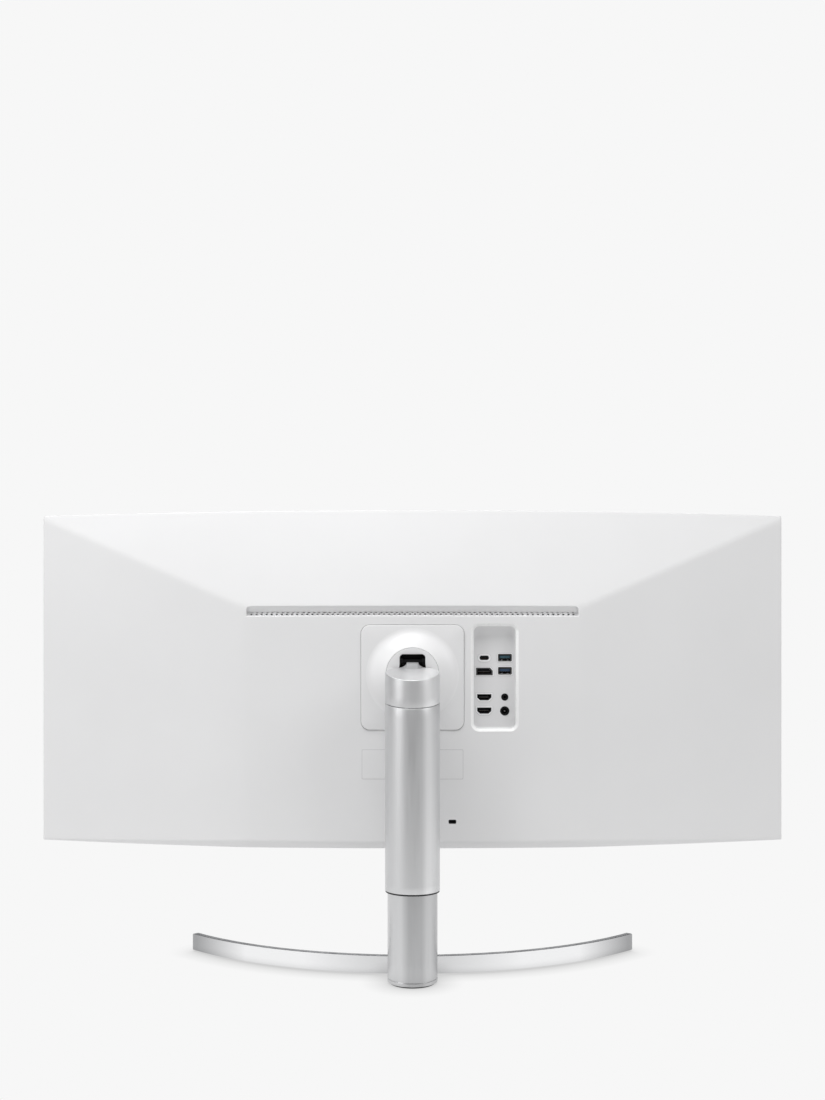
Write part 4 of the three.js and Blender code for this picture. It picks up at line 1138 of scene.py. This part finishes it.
def pads():
    profile = [(0.02, 0), (24.2, 0), (24.8, 0.3), (25, 0.8), (25, 1.5), (0.02, 1.5)]
    pad = Mesh().loft(turned(profile, "z", (0, 0, 0), 96))
    make("pad_column", pad, SLOT_OF["foot_pad"], "base", ["foot_pad"])
    for side, degrees in (("left", -PAD_ANGLE), ("right", PAD_ANGLE)):
        angle = math.radians(degrees)
        radius = ARC_RADIUS - ARC_DEPTH / 2
        across, along = (math.sin(angle), math.cos(angle)), (math.cos(angle), -math.sin(angle))
        shape = Mesh()
        rings = []
        for inset, z in ((0.5, 0), (0.12, 0.15), (0, 0.5), (0, 1.5)):
            ring = []
            for u, v in rounded(-15 + inset, 15 - inset, -7 + inset, 7 - inset, 3 - inset, 5):
                ring.append((
                    radius * across[0] + u * along[0] + v * across[0],
                    ARC_CENTRE_Y + radius * across[1] + u * along[1] + v * across[1],
                    z,
                ))
            rings.append(ring)
        shape.loft(rings, start=True, end=True)
        make(f"pad_{side}", shape, SLOT_OF["foot_pad"], "base", [f"base_pad_{side}"])


# ---------------------------------------------------------------- screen side
SCREEN_FRONT, SCREEN_BACK = -14.0, -12.2
RIM_FRONT = -14.3
RIM_CORNER = 1.5


def curved_band(points, x0, x1, count=72):
    """A bar along X that follows the curve of the head. Points are (offset, height) of its section."""
    rings = []
    for x in steps_between(x0, x1, count):
        rings.append([(x, curve_y(x) + offset, z) for offset, z in points])
    return Mesh().loft(rings, start=True, end=True)


def front_strip(shape, xs, low, high):
    """A flat strip just in front of the glass, between two heights."""
    y = SCREEN_FRONT - 0.03
    shape.loft([[(x, curve_y(x) + y, low), (x, curve_y(x) + y, high)] for x in xs], closed=False)


def screen():
    x0, x1 = span("lcd_panel", "x")
    z0, z1 = span("lcd_panel", "z")
    front, back = SCREEN_FRONT, SCREEN_BACK
    border, edge = 7.5, 0.3
    glass = curved_band([
        (front + 0.1, z0), (front, z0 + 0.1), (front, z1 - 0.1), (front + 0.1, z1), (back, z1), (back, z0),
    ], x0, x1)
    make("screen_panel", glass, "screen_glass", "head", ["lcd_panel"], smooth=30)
    lines = Mesh()
    across = steps_between(x0 + edge, x1 - edge, 72)
    front_strip(lines, across, z0 + edge, z0 + 3.5)
    front_strip(lines, across, z1 - border, z1 - edge)
    for left, right in ((x0 + edge, x0 + border), (x1 - border, x1 - edge)):
        front_strip(lines, (left, (left + right) / 2, right), z0 + edge, z1 - edge)
    make("screen_border", lines, "screen_glass", "head", smooth=30, look="panel_border")


def chin():
    x0, x1 = span("chin_trim", "x")
    z0, z1 = span("chin_trim", "z")
    outer, back = RIM_FRONT, SCREEN_BACK
    bar = curved_band([
        (outer + 0.5, z0), (outer + 0.12, z0 + 0.12), (outer, z0 + 0.5), (outer, z1 - 0.5),
        (outer + 0.12, z1 - 0.12), (outer + 0.5, z1), (back, z1), (back, z0),
    ], x0, x1)
    make("chin_bar", bar, "white_smooth", "head", ["chin_trim"], smooth=30)


def rim():
    """Thin frame around the screen, drawn as one band that runs round the outline."""
    front, rear, wide = RIM_FRONT, -FRAME_DEPTH, 4.0
    section = [
        (0.5, front), (0.15, front + 0.12), (0, front + 0.5), (0, rear - 0.4), (0.12, rear - 0.1),
        (0.4, rear), (wide, rear), (wide, front + 0.3), (wide - 0.3, front),
    ]
    low_x, high_x = HEAD_LEFT + RIM_CORNER, HEAD_RIGHT - RIM_CORNER
    low_z, high_z = HEAD_BOTTOM + RIM_CORNER, HEAD_TOP - RIM_CORNER
    xs, zs = steps_between(low_x, high_x, 72), steps_between(low_z, high_z, 12)
    path = [(x, HEAD_BOTTOM, 0, 1) for x in xs] + corner_steps(high_x, low_z, -90)
    path += [(HEAD_RIGHT, z, -1, 0) for z in zs] + corner_steps(high_x, high_z, 0)
    path += [(x, HEAD_TOP, 0, -1) for x in reversed(xs)] + corner_steps(low_x, high_z, 90)
    path += [(HEAD_LEFT, z, 1, 0) for z in reversed(zs)] + corner_steps(low_x, low_z, 180)
    rings = []
    for x, z, nx, nz in path:
        ring = []
        for inward, offset in section:
            px, pz = x + nx * inward, z + nz * inward
            ring.append((px, curve_y(px) + offset, pz))
        rings.append(ring)
    rings.append(rings[0])
    make("rim_band", Mesh().loft(rings), "white_textured", "head", ["middle_frame"], smooth=32)


def corner_steps(cx, cz, start):
    """Places round one corner of the frame, each with the direction inwards."""
    steps = []
    for i in range(1, 5):
        a = math.radians(start + 90 * i / 5)
        across, up = math.cos(a), math.sin(a)
        steps.append((cx + RIM_CORNER * across, cz + RIM_CORNER * up, -across, -up))
    return steps


# ---------------------------------------------------------------- inner parts carried over
HINGE_PARTS = ("hinge_fork", "hinge_shaft", "friction_washer", "tilt_spring", "stand_bracket", "vesa_frame")


def carried_over():
    for name, node in frame["nodes"].items():
        # Hinge parts are painted black steel, which also paints the shade inside the hinge window.
        look = "black_steel" if name.startswith(HINGE_PARTS) else SLOT_OF[name]
        paint(node, look)
        shade(node, 35)
        if not node.hide_render and not name.startswith("tilt_spring"):
            soften(node, 0.25)


# ---------------------------------------------------------------- floor, light and camera
BACKDROP = 0.93
ROOM = 0.28
FLOOR_SIZE = 30
FLOOR_NEAR = 0.28
CONTACT_REACH = 0.032
CONTACT_DEPTH = 0.33
BACKDROP_EDGE = (-0.78, -0.6)  # share of Y in a direction, where the backdrop gives way to the room
LIGHTS = [
    # name, place, aim, width, height, power
    ("top", (0.30, 0.50, 1.85), (0.0, -0.05, 0.30), 1.6, 0.9, 22.3),
    ("left", (1.55, 0.95, 0.85), (0.0, -0.02, 0.25), 0.8, 1.2, 7.6),
    ("right", (-1.45, 0.85, 1.3), (0.0, -0.02, 0.28), 0.8, 1.1, 8.0),
    ("front", (0.0, -1.9, 1.2), (0.0, -0.05, 0.25), 1.4, 0.8, 9.0),
]
CAMERA_PLACE = (0.0, 1.170, 0.326)
CAMERA_LENS = 35.04
CAMERA_RISE = 0.1218


def eased(tree, value, source, target):
    """A smooth step from one strength to another."""
    low, high = target
    return add_node(
        tree, "ShaderNodeMapRange", {"interpolation_type": "SMOOTHSTEP"},
        Value=value, From_Min=source[0], From_Max=source[1], To_Min=low, To_Max=high,
    ).outputs[0]


def split(tree, vector):
    return add_node(tree, "ShaderNodeSeparateXYZ", Vector=vector).outputs["Y"]


def floor_look():
    """Glowing paper: pale around the object, dim towards the camera and darker where something is close."""
    look = bpy.data.materials.new("floor_paper")
    look.use_nodes = True
    tree = look.node_tree
    tree.nodes.clear()
    out = add_node(tree, "ShaderNodeOutputMaterial")
    where = add_node(tree, "ShaderNodeTexCoord").outputs["Object"]
    away = add_node(tree, "ShaderNodeVectorMath", {"operation": "LENGTH"}, Vector=where)
    heading = add_node(tree, "ShaderNodeVectorMath", {"operation": "NORMALIZE"}, Vector=where)
    near = eased(tree, split(tree, where), (0.45, 1.1), (BACKDROP, FLOOR_NEAR))
    far = eased(tree, split(tree, heading.outputs[0]), BACKDROP_EDGE, (BACKDROP, ROOM))
    reach = eased(tree, away.outputs["Value"], (2.5, 7.0), (0, 1))
    blend = add_node(tree, "ShaderNodeMix")
    for place, output in ((0, reach), (2, near), (3, far)):
        tree.links.new(output, blend.inputs[place])
    # Painted contact shadow: the glow dims where ambient occlusion finds something close.
    contact = add_node(tree, "ShaderNodeAmbientOcclusion", {"samples": 16}, Distance=CONTACT_REACH)
    darker = add_node(
        tree, "ShaderNodeMapRange", Value=contact.outputs["AO"], From_Min=0.4, To_Min=1 - CONTACT_DEPTH,
    )
    power = add_node(tree, "ShaderNodeMath", {"operation": "MULTIPLY"})
    tree.links.new(blend.outputs[0], power.inputs[0])
    tree.links.new(darker.outputs[0], power.inputs[1])
    glow = add_node(tree, "ShaderNodeEmission", Strength=power.outputs[0])
    tree.links.new(glow.outputs[0], out.inputs["Surface"])
    return look


def stage():
    """A pale floor that turns into an even pale backdrop away from the object."""
    size = FLOOR_SIZE
    corners = [(-size, -size, 0), (size, -size, 0), (size, size, 0), (-size, size, 0)]
    mesh = bpy.data.meshes.new("floor")
    mesh.from_pydata(corners, [], [(0, 1, 2, 3)])
    floor = bpy.data.objects.new("floor", mesh)
    scene.collection.objects.link(floor)
    mesh.materials.append(floor_look())


def surroundings():
    """The room's own light: a pale backdrop behind the object as the photo sees it, dim elsewhere."""
    world = bpy.data.worlds.new("studio")
    scene.world = world
    world.use_nodes = True
    tree = world.node_tree
    tree.nodes.clear()
    out = add_node(tree, "ShaderNodeOutputWorld")
    heading = add_node(tree, "ShaderNodeTexCoord").outputs["Generated"]
    turn = eased(tree, split(tree, heading), BACKDROP_EDGE, (BACKDROP, ROOM))
    sky = add_node(tree, "ShaderNodeBackground", Color=(1, 1, 1, 1), Strength=turn)
    tree.links.new(sky.outputs[0], out.inputs["Surface"])


def lights():
    for name, place, aim, width, height, power in LIGHTS:
        data = bpy.data.lights.new(name, "AREA")
        data.shape = "RECTANGLE"
        data.size = width
        data.size_y = height
        data.energy = power
        light = bpy.data.objects.new(name, data)
        light.location = place
        light.rotation_mode = "QUATERNION"
        light.rotation_quaternion = (Vector(aim) - Vector(place)).to_track_quat("-Z", "Y")
        light.visible_camera = False
        scene.collection.objects.link(light)


def camera():
    data = bpy.data.cameras.new("camera")
    data.lens = CAMERA_LENS
    data.shift_y = CAMERA_RISE
    data.clip_start = 0.01
    made = bpy.data.objects.new("camera", data)
    made.location = CAMERA_PLACE
    made.rotation_euler = (math.radians(90), 0, math.radians(180))
    scene.collection.objects.link(made)
    scene.camera = made
    scene.view_settings.view_transform = "Standard"
    scene.view_settings.look = "None"


make_looks()
rear_cover()
vent()
port_bay()
sockets()
mount()
bell()
window_plate()
label()
lock_slot()
menu_stick()
outer_tube()
column_cap()
neck()
inner_tube()
glide()
arc()
foot()
pads()
screen()
chin()
rim()
carried_over()
stage()
surroundings()
lights()
camera()
